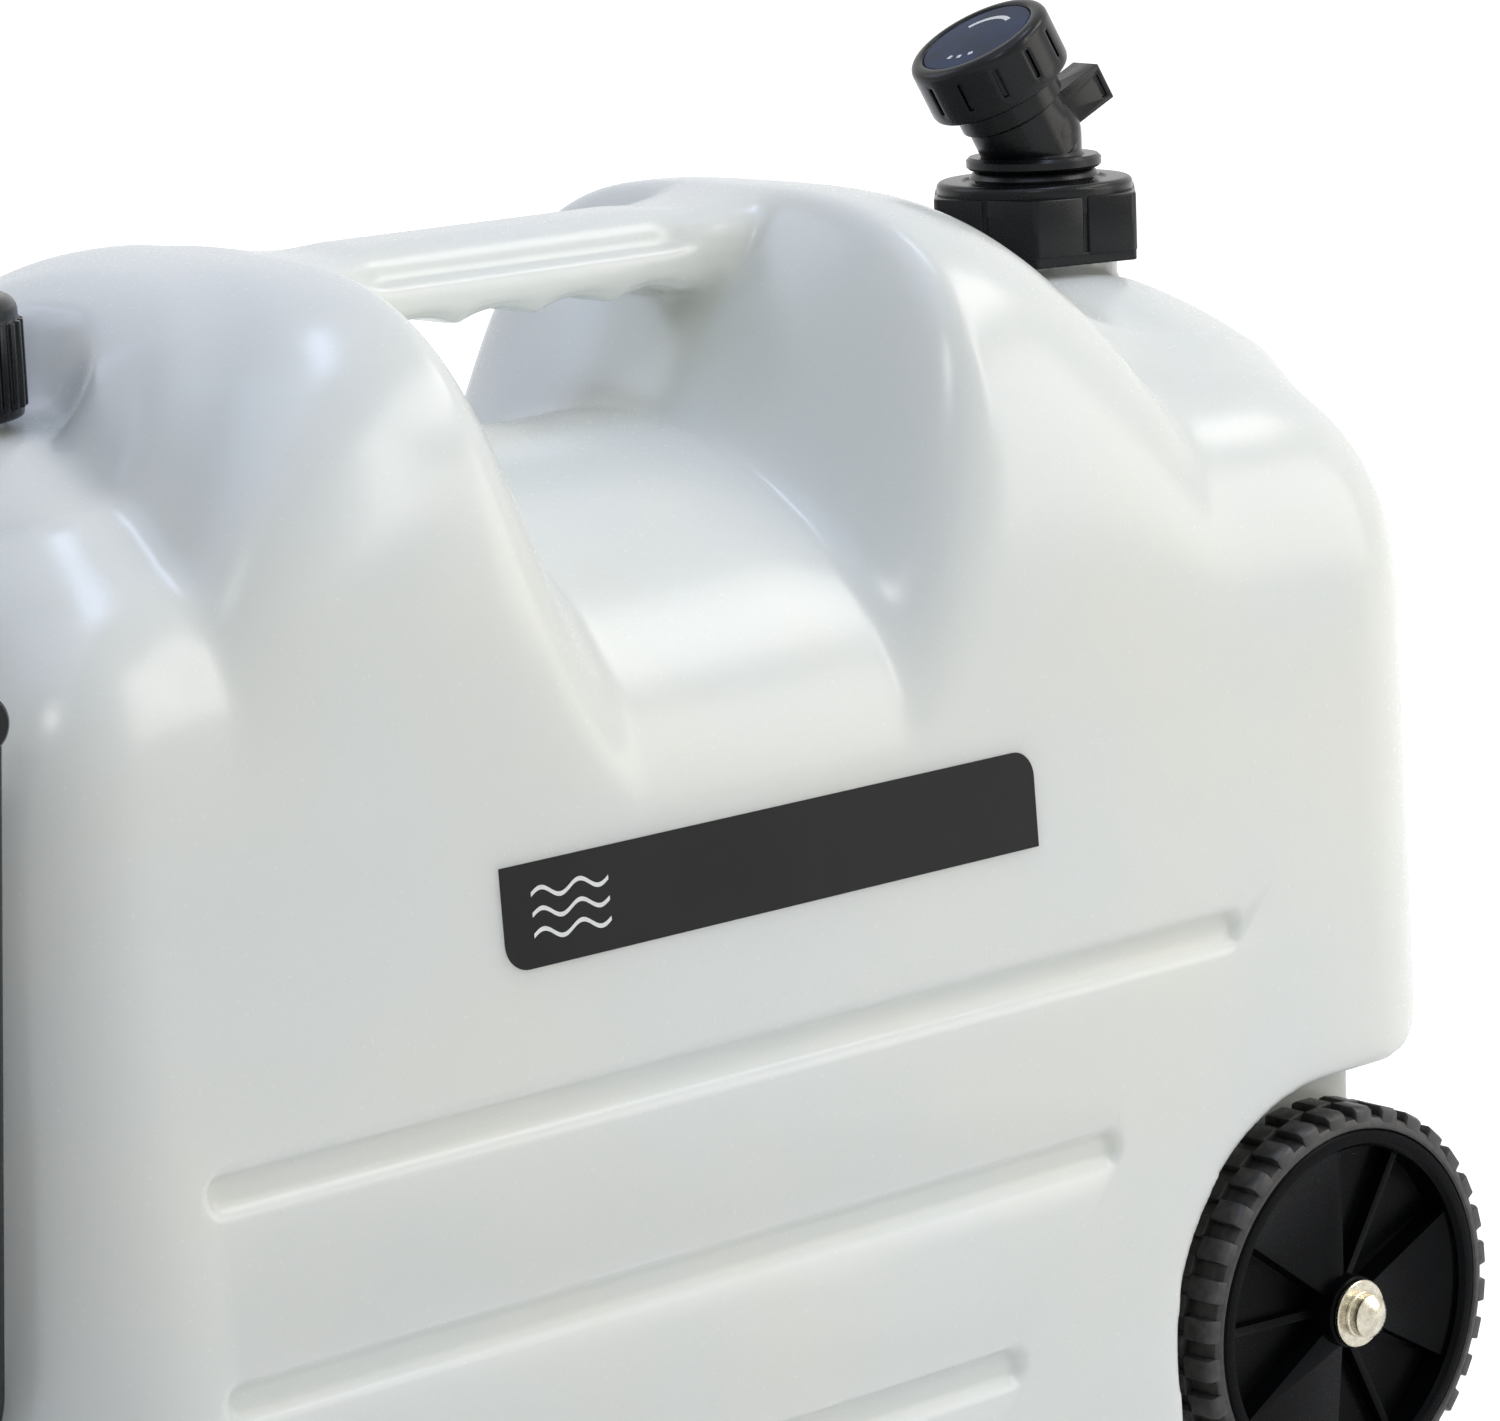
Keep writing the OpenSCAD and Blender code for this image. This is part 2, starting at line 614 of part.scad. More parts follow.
// tap moulding: flange, stem, ring, tube, barrel and nozzle
module tap_body() color("black") difference() {
    union() {
        translate([neck_x, 0, flange_z]) cylinder(flange_t - 1.1, r = flange_r, $fn = 64);
        translate([neck_x, 0, flange_z]) cylinder(collar_top + 0.5 - flange_z, r = swivel_r, $fn = 64);
        translate([neck_x, 0, collar_top + free_gap])
            cylinder(ring_z - collar_top - free_gap, r1 = ring_r - 0.6, r2 = swivel_r, $fn = 64);
        translate([neck_x, 0, ring_z]) cylinder(3.5, r = ring_r, $fn = 64);
        translate([neck_x, 0, ring_z]) cylinder(9, r = tube_r, $fn = 64);
        translate([neck_x, 0, p0_z + 4.5]) sphere(tube_r, $fn = 64);
        on_barrel() cylinder(barrel_top, r = barrel_r, $fn = 64);
        on_barrel() translate([0, -nozzle_w / 2, nozzle_up - nozzle_t / 2])
            cube([nozzle_l, nozzle_w, nozzle_t]);
    }
    translate([neck_x, 0, flange_z - 1]) cylinder(p0_z - flange_z - 2, r = 9, $fn = 48);
    translate([neck_x, 0, flange_z]) seal_ring(1.5, -1, 0);
    on_barrel() translate([0, 0, -4]) cylinder(40, r = plug_r + run_fit, $fn = 48);
    on_barrel() translate([0, 0, barrel_top - 5]) cylinder(10, r = plug_r + 2.2, $fn = 48);
    on_barrel() translate([plug_r - 3, 0, nozzle_up]) rotate([0, 90, 0])
        cylinder(nozzle_l, r = passage_r, $fn = 40);
    on_barrel() translate([nozzle_l - socket_deep, 0, nozzle_up]) rotate([0, 90, 0])
        cylinder(socket_deep + 1, r = nozzle_bore, $fn = 48);
}

// sealing ring in a groove of the flange underside
module seal_ring(top, z0, less) difference() {
    translate([0, 0, z0]) cylinder(top - z0 - less, r = 13.5 - less, $fn = 48);
    translate([0, 0, z0 - 1]) cylinder(top + 4, r = 10.5 + less, $fn = 48);
}
module swivel_seal() color("dimgray") translate([neck_x, 0, flange_z]) seal_ring(1.5, 0, seat_gap);

// turning plug with a cross bore that lines up with the nozzle when open
module valve_plug() color("gainsboro") on_barrel() difference() {
    union() {
        translate([0, 0, -3.5]) cylinder(barrel_top - 2, r = plug_r, $fn = 48);
        cylinder(barrel_top + 6, r = 4, $fn = 40);
    }
    translate([0, 0, -5]) cylinder(5 + nozzle_up, r = 4, $fn = 40);
    translate([0, 0, nozzle_up]) rotate([90, 0, 0])
        cylinder(3 * plug_r, r = passage_r, center = true, $fn = 40);
    translate([0, 0, barrel_top - 4]) cylinder(20, r = 1.3, $fn = 32);
}

// ring seal above the plug
module valve_seal() color("dimgray") on_barrel() translate([0, 0, barrel_top - 5 + seat_gap]) difference() {
    cylinder(2, r = plug_r + 2.1, $fn = 48);
    translate([0, 0, -1]) cylinder(5, r = plug_r + 0.35, $fn = 48);
}

// nut that closes the barrel round the plug stem
module barrel_nut() color("black") on_barrel() translate([0, 0, barrel_top - 3 + 2 * seat_gap]) difference() {
    cylinder(2.6, r = plug_r + 2.1, $fn = 48);
    translate([0, 0, -1]) cylinder(5, r = 4 + 0.35, $fn = 48);
}

// knob with slots round its side and a sunk face
knob_z = barrel_top + knob_gap;
module valve_knob() color("black") on_barrel() translate([0, 0, knob_z]) difference() {
    union() {
        cylinder(knob_h - 3, r = knob_r, $fn = 72);
        translate([0, 0, knob_h - 3]) cylinder(3, r1 = knob_r, r2 = knob_r - 3, $fn = 72);
    }
    for (i = [1:knob_slots]) rotate(i * 360 / knob_slots)
        translate([knob_r - 1.2, -slot_w / 2, knob_h / 4]) cube([3, slot_w, knob_h / 2]);
    translate([0, 0, knob_h - 1.6]) cylinder(3, r = knob_r - 4.2, $fn = 72);
    translate([0, 0, -1]) cylinder(7 - knob_gap + seat_gap, r = 4 + seat_gap, $fn = 40);
    translate([0, 0, -1]) cylinder(knob_h + 2, r = 1.6, $fn = 32);
    translate([0, 0, knob_h - 4.2]) cylinder(3, r = 3.3, $fn = 40);
}

// glossy cover of the knob face
module knob_disc() color("midnightblue") on_barrel() translate([0, 0, knob_z + knob_h - 1.6 + seat_gap])
    cylinder(1.2, r = knob_r - 4.2 - seat_gap, $fn = 72);

// screw that ties the knob to the plug stem
module knob_screw() color("silver") on_barrel() translate([0, 0, knob_z + knob_h - 4.2 + seat_gap]) {
    translate([0, 0, -9]) cylinder(9, r = 1.25, $fn = 32);
    cylinder(2.2, r = 3, $fn = 40);
}

tank_shell();
label_plate();
axle_rod();
axle_bushes();
inner_washers();
outer_washers();
axle_caps();
front_wheel_hub();
front_wheel_tyre();
back_wheel_hub();
back_wheel_tyre();
handle_brackets();
bracket_screws();
pivot_pins();
pin_clips();
tow_handle_frame();
tow_handle_grip();
fill_gasket();
fill_cap();
tap_gasket();
tap_collar();
swivel_washer();
tap_body();
swivel_seal();
valve_plug();
valve_seal();
barrel_nut();
valve_knob();
knob_disc();
knob_screw();
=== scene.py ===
import math
from contextlib import contextmanager

import bmesh
import bpy
import numpy as np
from bpy.props import FloatProperty, FloatVectorProperty, IntProperty, PointerProperty
from mathutils import Matrix, Vector


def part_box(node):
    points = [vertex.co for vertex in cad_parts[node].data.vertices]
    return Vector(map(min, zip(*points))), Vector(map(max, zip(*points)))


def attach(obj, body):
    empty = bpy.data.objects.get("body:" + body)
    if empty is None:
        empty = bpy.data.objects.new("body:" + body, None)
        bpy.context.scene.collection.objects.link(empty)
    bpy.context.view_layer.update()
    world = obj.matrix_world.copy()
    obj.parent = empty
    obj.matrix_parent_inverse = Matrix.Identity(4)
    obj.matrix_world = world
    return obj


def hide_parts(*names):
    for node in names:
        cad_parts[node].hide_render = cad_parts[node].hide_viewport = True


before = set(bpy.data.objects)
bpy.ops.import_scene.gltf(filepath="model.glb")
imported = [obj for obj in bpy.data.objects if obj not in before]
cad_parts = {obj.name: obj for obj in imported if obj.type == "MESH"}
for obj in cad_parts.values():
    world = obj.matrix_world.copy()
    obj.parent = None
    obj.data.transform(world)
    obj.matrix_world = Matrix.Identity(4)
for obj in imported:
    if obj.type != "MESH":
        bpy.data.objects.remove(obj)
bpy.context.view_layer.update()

bl_info = {
    "name": "Rolling water carrier",
    "version": (1, 0, 0),
    "blender": (4, 5, 0),
    "location": "View3D > Sidebar > Carrier",
    "description": "Dresses a water carrier with its moulded tank, tap, wheels and tow handle",
    "category": "Object",
}

MM = 0.001

# The photographed view: a long lens from the front left, a little above the tank
CAMERA_PLACE = (-0.8889, -1.0983, 0.5128)
CAMERA_FORWARD = (0.6468, 0.7383, -0.1911)
CAMERA_RIGHT = (0.7463, -0.6644, -0.0409)
CAMERA_SENSOR = 36.0
CAMERA_LENS = 131.88


def linear(hex_colour):
    """Turn an sRGB hex colour into linear red, green and blue."""
    parts = [int(hex_colour[i:i + 2], 16) / 255 for i in (1, 3, 5)]
    return tuple(c / 12.92 if c <= 0.04045 else ((c + 0.055) / 1.055) ** 2.4 for c in parts)


def length(name, description, millimetres):
    """A length property given in millimetres."""
    return FloatProperty(name=name, description=description, default=millimetres * MM, unit="LENGTH")


def share(name, description, value):
    """A plain number property."""
    return FloatProperty(name=name, description=description, default=value, subtype="FACTOR")


def colour(name, description, hex_colour):
    """A colour property given as an sRGB hex value."""
    return FloatVectorProperty(name=name, description=description, default=linear(hex_colour),
                               subtype="COLOR", min=0, max=1)


class CarrierTank(bpy.types.PropertyGroup):
    """Sizes of the blow moulded tank"""
    long: length("Length", "Length over the upper end walls", 483)
    deep: length("Depth", "Depth over the faces at the floor", 242)
    lean: share("Face lean", "Run over rise of the front and back faces", 0.059)
    taper: share("End taper", "Share of the length lost from spring line to floor", 0.03)
    spring: length("Spring line", "Height at which the flat faces turn into the crown", 232)
    corner: length("Corner radius", "Plan radius of the upright corners", 42)
    end: length("Shoulder radius", "Radius of the end shoulders seen from the front", 61)
    base: length("Base radius", "Radius of the bottom edges", 18)
    valley: length("Valley height", "Height of the valley under the grip", 316)
    shoulder: length("Shoulder height", "Height of the shoulders that carry the necks", 322.5)
    hump: length("Hump height", "Height of the two humps", 371.5)
    shift: length("Hump shift", "Offset of the valley from the middle of the tank", -11.4)
    flank_in: length("Flank foot", "Foot of the inner flank from the valley middle", 41)
    flank_top: length("Flank top", "Top of the inner flank from the valley middle", 85.5)
    fall_in: length("Fall start", "Start of the outer fall of a hump", 87.5)
    fall_out: length("Fall end", "End of the outer fall of a hump", 159.5)
    plinth: length("Plinth rise", "Rise of the round plinths under the necks", 14.5)
    rib_deep: length("Groove depth", "Depth of the long grooves in the faces", 2.6)
    rib_half: length("Groove half height", "Half the height of a long groove", 6)
    voxel: length("Skin grid", "Grid on which the moulded skin is fused", 1.6)


class CarrierFittings(bpy.types.PropertyGroup):
    """Sizes of the fittings on the tank"""
    grip_wide: length("Grip width", "Width of the carry grip", 40)
    grip_high: length("Grip height", "Height of the carry grip", 21)
    grip_z: length("Grip place", "Height of the middle of the carry grip", 357)
    scallop: length("Scallop pitch", "Spacing of the finger scallops", 26)
    neck_x: length("Neck place", "Distance of each neck from the tank's middle", 187)
    neck_r: length("Neck radius", "Outer radius of a neck", 22.5)
    neck_top: length("Neck rim", "Height of the neck rims", 352)
    cap_ribs: IntProperty(name="Cap ribs", description="Ribs round the filler cap", default=36)
    knob_slots: IntProperty(name="Knob slots", description="Slots round the valve knob", default=12)
    lugs: IntProperty(name="Tread blocks", description="Tread blocks on each row of a tyre", default=32)


class CarrierColours(bpy.types.PropertyGroup):
    """Colours of the carrier's materials"""
    tank: colour("Tank", "Milky polyethylene of the tank", "#E2E4DD")
    tank_cool: colour("Tank, thin", "Cooler tone where the moulding is thinner", "#DFE3E0")
    black: colour("Black mouldings", "Polypropylene of tap, caps and wheel centres", "#0E1012")
    tyre: colour("Tyres", "Tread compound", "#2B2A29")
    label: colour("Label", "Ground of the label film", "#1A1A1B")
    ink: colour("Print", "White print on label and knob", "#E6E7E4")
    steel: colour("Steel", "Zinc plated steel", "#C8C2B0")
    face: colour("Knob face", "Glossy face of the valve knob", "#0A2748")
    sleeve: colour("Sleeve", "Soft sleeve on the tow bar", "#26272A")
    seal: colour("Seals", "Rubber of the gaskets", "#2B2B2B")
    bush: colour("Bushes", "Pale acetal of bushes and plug", "#E4E3DC")


def settings():
    """The carrier's settings on the scene."""
    scene = bpy.context.scene
    return scene.carrier_tank, scene.carrier_fittings, scene.carrier_colours


# Modelling helpers

def use(*objects):
    """Make pieces the only selected objects, the first one active."""
    bpy.ops.object.select_all(action="DESELECT")
    for obj in objects:
        obj.select_set(True)
    bpy.context.view_layer.objects.active = objects[0]


def start(name, primitive, **sizes):
    """Add a primitive and put its place into its mesh."""
    bpy.ops.object.select_all(action="DESELECT")
    primitive(**sizes)
    obj = bpy.context.active_object
    obj.name = name
    obj.data.name = name
    bpy.ops.object.transform_apply(location=True, rotation=True, scale=True)
    return obj


@contextmanager
def editing(obj, kind="FACE"):
    """Edit one piece with everything on it selected."""
    use(obj)
    bpy.ops.object.mode_set(mode="EDIT")
    bpy.ops.mesh.select_mode(type=kind)
    bpy.ops.mesh.select_all(action="SELECT")
    yield
    bpy.ops.object.mode_set(mode="OBJECT")


def pick_faces(obj, test):
    """Select the faces whose centre and normal pass a test."""
    bpy.ops.mesh.select_all(action="DESELECT")
    shape = bmesh.from_edit_mesh(obj.data)
    for face in shape.faces:
        if test(face.calc_center_median(), face.normal):
            face.select_set(True)
    bmesh.update_edit_mesh(obj.data)


def close_up():
    """Merge seams, fill open ends and turn all faces outwards."""
    bpy.ops.mesh.select_all(action="SELECT")
    bpy.ops.mesh.remove_doubles(threshold=0.002 * MM)
    bpy.ops.mesh.fill_holes(sides=0)
    bpy.ops.mesh.select_all(action="SELECT")
    bpy.ops.mesh.normals_make_consistent(inside=False)


def modify(obj, kind, **choices):
    """Add a modifier and apply it."""
    use(obj)
    modifier = obj.modifiers.new(kind.title(), kind)
    for key, value in choices.items():
        setattr(modifier, key, value)
    bpy.ops.object.modifier_apply(modifier=modifier.name)


def soften(obj, width, segments=2, angle=30):
    """Round the hard edges of a piece."""
    modify(obj, "BEVEL", width=width * MM, segments=segments, limit_method="ANGLE",
           angle_limit=math.radians(angle), miter_outer="MITER_ARC")


def combine(obj, tools, operation, solver="EXACT"):
    """Fuse tools with a piece or cut them out of it."""
    for tool in tools:
        modify(obj, "BOOLEAN", operation=operation, solver=solver, object=tool)
        bpy.data.meshes.remove(tool.data)


def place(obj, matrix):
    """Move a piece and put its place into its mesh."""
    use(obj)
    obj.matrix_world = matrix
    bpy.ops.object.transform_apply(location=True, rotation=True, scale=True)


def copy(obj, name, matrix=None, mirror_y=False):
    """Copy a piece with its own mesh, moved or mirrored in Y."""
    use(obj)
    bpy.ops.object.duplicate()
    twin = bpy.context.active_object
    twin.name = name
    twin.data.name = name
    if mirror_y:
        twin.scale.y = -1
        bpy.ops.object.transform_apply(location=True, rotation=True, scale=True)
        with editing(twin):
            bpy.ops.mesh.normals_make_consistent(inside=False)
    if matrix:
        place(twin, matrix)
    return twin


def join(obj, *others):
    """Join pieces into the first one."""
    use(obj, *others)
    bpy.ops.object.join()
    return obj


def shade(obj, angle=35):
    """Smooth shading with edges sharper than an angle kept."""
    use(obj)
    bpy.ops.object.shade_smooth_by_angle(angle=math.radians(angle))


def arc(cx, cy, r, start_deg, end_deg, steps):
    """Points along an arc."""
    turns = [math.radians(start_deg + (end_deg - start_deg) * i / steps) for i in range(steps + 1)]
    return [(cx + r * math.cos(a), cy + r * math.sin(a)) for a in turns]


def turned(name, profile, steps=96):
    """A turned piece: a ring is extruded and scaled along a profile of radius and height in mm."""
    points = [(max(r, 0.01) * MM, z * MM) for r, z in profile]
    obj = start(name, bpy.ops.mesh.primitive_circle_add, vertices=steps, radius=points[0][0],
                location=(0, 0, points[0][1]))
    with editing(obj, "EDGE"):
        for (r, z), (r_next, z_next) in zip(points, points[1:]):
            bpy.ops.mesh.extrude_region_move(TRANSFORM_OT_translate={"value": (0, 0, z_next - z)})
            ratio = r_next / r
            bpy.ops.transform.resize(value=(ratio, ratio, 1), center_override=(0, 0, z_next))
        close_up()
    return obj


def prism(name, outline, height):
    """A face of the outline, in mm, extruded upwards."""
    obj = start(name, bpy.ops.mesh.primitive_circle_add, vertices=len(outline), radius=1)
    for vertex, (x, y) in zip(obj.data.vertices, outline):
        vertex.co = (x * MM, y * MM, 0)
    with editing(obj, "EDGE"):
        bpy.ops.mesh.edge_face_add()
        bpy.ops.mesh.extrude_region_move(TRANSFORM_OT_translate={"value": (0, 0, height * MM)})
        close_up()
    return obj


def loft(name, rings, around=True):
    """A grid whose rows follow rings of points in metres, closed around and at both ends."""
    rings = np.asarray(rings, float)
    if around:
        rings = np.concatenate([rings, rings[:, :1]], axis=1)
    rows, columns = rings.shape[:2]
    obj = start(name, bpy.ops.mesh.primitive_grid_add, x_subdivisions=rows - 1,
                y_subdivisions=columns - 1, size=1)
    flat = np.empty(len(obj.data.vertices) * 3)
    obj.data.vertices.foreach_get("co", flat)
    flat = flat.reshape(-1, 3)
    row = np.rint((flat[:, 0] + 0.5) * (rows - 1)).astype(int)
    column = np.rint((flat[:, 1] + 0.5) * (columns - 1)).astype(int)
    obj.data.vertices.foreach_set("co", rings[row, column].ravel())
    obj.data.update()
    if around:
        with editing(obj):
            close_up()
    return obj


def along_y(x=0, y=0, z=0):
    """Turns an upright piece so that its top points towards the front, at a place in mm."""
    return Matrix.Translation((x * MM, y * MM, z * MM)) @ Matrix.Rotation(math.pi / 2, 4, "X")


def finish(obj, body, slot, material, *nodes):
    """Hand a finished piece to its body, its finish and the nodes it stands for."""
    obj.data.materials.clear()
    obj.data.materials.append(material)
    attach(obj, body)
    if nodes:
        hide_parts(*nodes)
    return obj


# Materials

def add(tree, kind, inputs=None, **choices):
    """Add a node with its settings, values and links."""
    node = tree.nodes.new(kind)
    for key, value in choices.items():
        setattr(node, key, value)
    for socket, value in (inputs or {}).items():
        if isinstance(value, bpy.types.NodeSocket):
            tree.links.new(value, node.inputs[socket])
        else:
            node.inputs[socket].default_value = value
    return node


def blank(name):
    """A new node material with its output, its shader and the piece's own coordinates."""
    material = bpy.data.materials.get(name)
    if material:
        return material, None, None, None
    material = bpy.data.materials.new(name)
    material.use_nodes = True
    tree = material.node_tree
    tree.nodes.clear()
    shader = add(tree, "ShaderNodeBsdfPrincipled")
    add(tree, "ShaderNodeOutputMaterial", {"Surface": shader.outputs[0]})
    place_in = add(tree, "ShaderNodeTexCoord").outputs["Object"]
    return material, tree, shader, place_in


def per(millimetres):
    """Texture scale for a feature of a real size in mm."""
    return 1 / (millimetres * MM)


def opaque(rgb):
    """A colour with full alpha."""
    return (*rgb, 1)


def grain(tree, shader, place_in, size, height, rough_low, rough_high, detail=3):
    """Moulded or blasted grain: a bump of a real size, and gloss that varies with it."""
    noise = add(tree, "ShaderNodeTexNoise", {"Vector": place_in, "Scale": per(size), "Detail": detail})
    bump = add(tree, "ShaderNodeBump", {"Height": noise.outputs["Fac"], "Strength": 1.0,
                                        "Distance": height * MM})
    rough = add(tree, "ShaderNodeMapRange", {"Value": noise.outputs["Fac"], "From Min": 0.3,
                                             "From Max": 0.7, "To Min": rough_low, "To Max": rough_high})
    tree.links.new(bump.outputs[0], shader.inputs["Normal"])
    tree.links.new(rough.outputs[0], shader.inputs["Roughness"])
    return noise


def tint(tree, shader, place_in, size, first, second):
    """Slow drift between two colours."""
    noise = add(tree, "ShaderNodeTexNoise", {"Vector": place_in, "Scale": per(size), "Detail": 2.0})
    ramp = add(tree, "ShaderNodeValToRGB", {"Fac": noise.outputs["Fac"]})
    ramp.color_ramp.elements[0].position = 0.35
    ramp.color_ramp.elements[0].color = opaque(first)
    ramp.color_ramp.elements[1].position = 0.65
    ramp.color_ramp.elements[1].color = opaque(second)
    tree.links.new(ramp.outputs[0], shader.inputs["Base Color"])


def toned(rgb, factor):
    """A colour made lighter or darker."""
    return tuple(min(1.0, c * factor) for c in rgb)


def polyethylene():
    """Natural blow moulded HDPE: milky, slightly see-through, with the fine grain of a blasted mould."""
    material, tree, shader, here = blank("blow_moulded_polyethylene")
    if tree:
        colours = settings()[2]
        tint(tree, shader, here, 90, colours.tank, colours.tank_cool)
        # the grain of about 0.3 mm is drawn at 0.9 mm so that it shows
        grain(tree, shader, here, 0.9, 0.01, 0.2, 0.28)
        shader.inputs["IOR"].default_value = 1.5
        shader.inputs["Subsurface Weight"].default_value = 0.7
        shader.inputs["Subsurface Radius"].default_value = (1.0, 0.95, 0.9)
        shader.inputs["Subsurface Scale"].default_value = 16 * MM
    return material


def black_plastic():
    """Injection moulded black polypropylene: satin, with a fine spark grain."""
    material, tree, shader, here = blank("moulded_black_polypropylene")
    if tree:
        black = settings()[2].black
        tint(tree, shader, here, 12, toned(black, 0.85), toned(black, 1.2))
        # the grain of about 0.15 mm is drawn at 0.5 mm so that it shows
        grain(tree, shader, here, 0.5, 0.01, 0.2, 0.3)
        shader.inputs["Specular IOR Level"].default_value = 0.21
    return material


def wheel_plastic_with_painted_shade():
    """Glass filled black nylon of the wheel centres: a darker copy of the black mouldings, partly its own deeper
    black and partly painted shade for the low wheels and their deep pockets; faint sheen.
    """
    material, tree, shader, here = blank("black_nylon_with_painted_shade")
    if tree:
        black = settings()[2].black
        # toned far below the other black mouldings: partly painted shade for the wheel centres and their deep pockets
        tint(tree, shader, here, 10, toned(black, 0.3), toned(black, 0.5))
        grain(tree, shader, here, 0.5, 0.008, 0.24, 0.34)
        shader.inputs["Specular IOR Level"].default_value = 0.045
    return material


def tyre_compound():
    """Moulded tread compound: matt black with dusty wear on its high spots."""
    material, tree, shader, here = blank("moulded_tyre_compound")
    if tree:
        tyre = settings()[2].tyre
        tint(tree, shader, here, 3, toned(tyre, 0.8), toned(tyre, 1.7))
        grain(tree, shader, here, 0.8, 0.03, 0.3, 0.5)
        shader.inputs["Specular IOR Level"].default_value = 0.4
    return material


def zinc_steel():
    """Zinc plated steel: bright, with fine turning marks and a faint warm passivation."""
    material, tree, shader, here = blank("zinc_plated_steel")
    if tree:
        steel = settings()[2].steel
        shader.inputs["Metallic"].default_value = 1.0
        tint(tree, shader, here, 2.5, toned(steel, 0.8), toned(steel, 1.1))
        grain(tree, shader, here, 0.6, 0.006, 0.2, 0.34)
    return material


def label_film():
    """Printed polyester film: satin black with a faint orange peel."""
    material, tree, shader, here = blank("printed_polyester_film")
    if tree:
        label = settings()[2].label
        tint(tree, shader, here, 30, toned(label, 0.9), toned(label, 1.15))
        grain(tree, shader, here, 1.2, 0.004, 0.32, 0.42)
        shader.inputs["Specular IOR Level"].default_value = 0.15
    return material


def print_ink():
    """White screen print: matt, slightly uneven in cover."""
    material, tree, shader, here = blank("white_screen_print")
    if tree:
        ink = settings()[2].ink
        tint(tree, shader, here, 1.5, toned(ink, 0.93), ink)
        grain(tree, shader, here, 0.5, 0.003, 0.45, 0.6)
    return material


def knob_gloss():
    """High gloss moulded ABS with a clear coat, deep blue black."""
    material, tree, shader, here = blank("high_gloss_knob_face")
    if tree:
        face = settings()[2].face
        tint(tree, shader, here, 9, toned(face, 0.7), toned(face, 1.3))
        grain(tree, shader, here, 3, 0.006, 0.08, 0.14)
        shader.inputs["Specular IOR Level"].default_value = 0.05
    return material


def sleeve_rubber():
    """Soft touch thermoplastic rubber: dull sheen and a pebbled grip grain."""
    material, tree, shader, here = blank("soft_touch_sleeve_rubber")
    if tree:
        sleeve = settings()[2].sleeve
        tint(tree, shader, here, 6, toned(sleeve, 0.85), toned(sleeve, 1.15))
        grain(tree, shader, here, 1.1, 0.05, 0.6, 0.75)
    return material


def seal_rubber():
    """Pressed sealing rubber: flat dark grey with a talc bloom."""
    material, tree, shader, here = blank("pressed_seal_rubber")
    if tree:
        seal = settings()[2].seal
        tint(tree, shader, here, 4, seal, toned(seal, 1.5))
        grain(tree, shader, here, 0.7, 0.01, 0.62, 0.8)
    return material


def acetal():
    """Turned white acetal: smooth, faintly waxy."""
    material, tree, shader, here = blank("white_acetal")
    if tree:
        bush = settings()[2].bush
        tint(tree, shader, here, 8, toned(bush, 0.94), bush)
        grain(tree, shader, here, 0.8, 0.004, 0.3, 0.4)
        shader.inputs["Subsurface Weight"].default_value = 0.1
        shader.inputs["Subsurface Scale"].default_value = 2 * MM
    return material


# Shape of the tank

def smooth(low, high, x):
    """Smooth step from 0 to 1."""
    t = np.clip((x - low) / (high - low), 0, 1)
    return t * t * (3 - 2 * t)


def mix(a, b, k):
    """Blend of two values."""
    return a + (b - a) * k


def round_in(ax, r, l):
    """How far an edge of radius r has turned in near the end of a length l."""
    d = np.clip(ax - (l - r), 0, r)
    return r - np.sqrt(r * r - d * d)


def dome(u, n):
    """Superellipse height over a half width."""
    return np.clip(1 - np.abs(u) ** n, 0, None) ** (1 / n)


SOFT_FALL = 0.12
FALL_POWER = 2.46
ROUND_VALLEY, ROUND_SHOULDER, ROUND_HUMP = 1.9, 3.3, 3.4
PLINTH_EDGE = (61.5 * MM, 82 * MM)
PLINTH_FRONT = (25 * MM, 60 * MM)
CAP_ROOM = (33.33 * MM, 46.33 * MM)
SHOULDER_BLEND = (70 * MM, 150 * MM)


def half_width(t, z):
    """Half depth of the tank's faces at a height."""
    return t.deep / 2 - t.lean * z


def hump_share(t, a):
    """Share of the hump height at a distance from the valley's middle."""
    q = 1 - np.clip((a - t.fall_in) / (t.fall_out - t.fall_in), 0, 1.5) ** FALL_POWER
    fall = (q + np.sqrt(q * q + SOFT_FALL ** 2)) / (1 + math.sqrt(1 + SOFT_FALL ** 2))
    fall = np.where(a >= t.fall_in + 1.5 * (t.fall_out - t.fall_in), 0, fall)
    return smooth(t.flank_in, t.flank_top, a) * fall


def crown(t, f, x, u):
    """Half depth at the spring line and height above it, at a length x and a share u across."""
    ax = np.abs(x)
    half = t.long / 2
    k = smooth(*SHOULDER_BLEND, ax)
    wide = half_width(t, t.spring) - round_in(ax, t.corner, half)
    top = mix(t.valley, t.shoulder, k) - round_in(ax, t.end, half) - t.spring
    r = np.hypot(ax - f.neck_x, wide * u)
    h = hump_share(t, np.abs(x - t.shift)) * smooth(*CAP_ROOM, r)
    front = smooth(0.7, 1, wide * np.abs(u) / np.maximum(r, MM)) * smooth(*PLINTH_FRONT, r)
    plinth = t.plinth * (1 - 0.65 * front) * (1 - smooth(*PLINTH_EDGE, r))
    low = top * dome(u, mix(ROUND_VALLEY, ROUND_SHOULDER, k)) + plinth
    high = (t.hump - t.spring) * dome(u, ROUND_HUMP)
    return wide, mix(low, high, h)


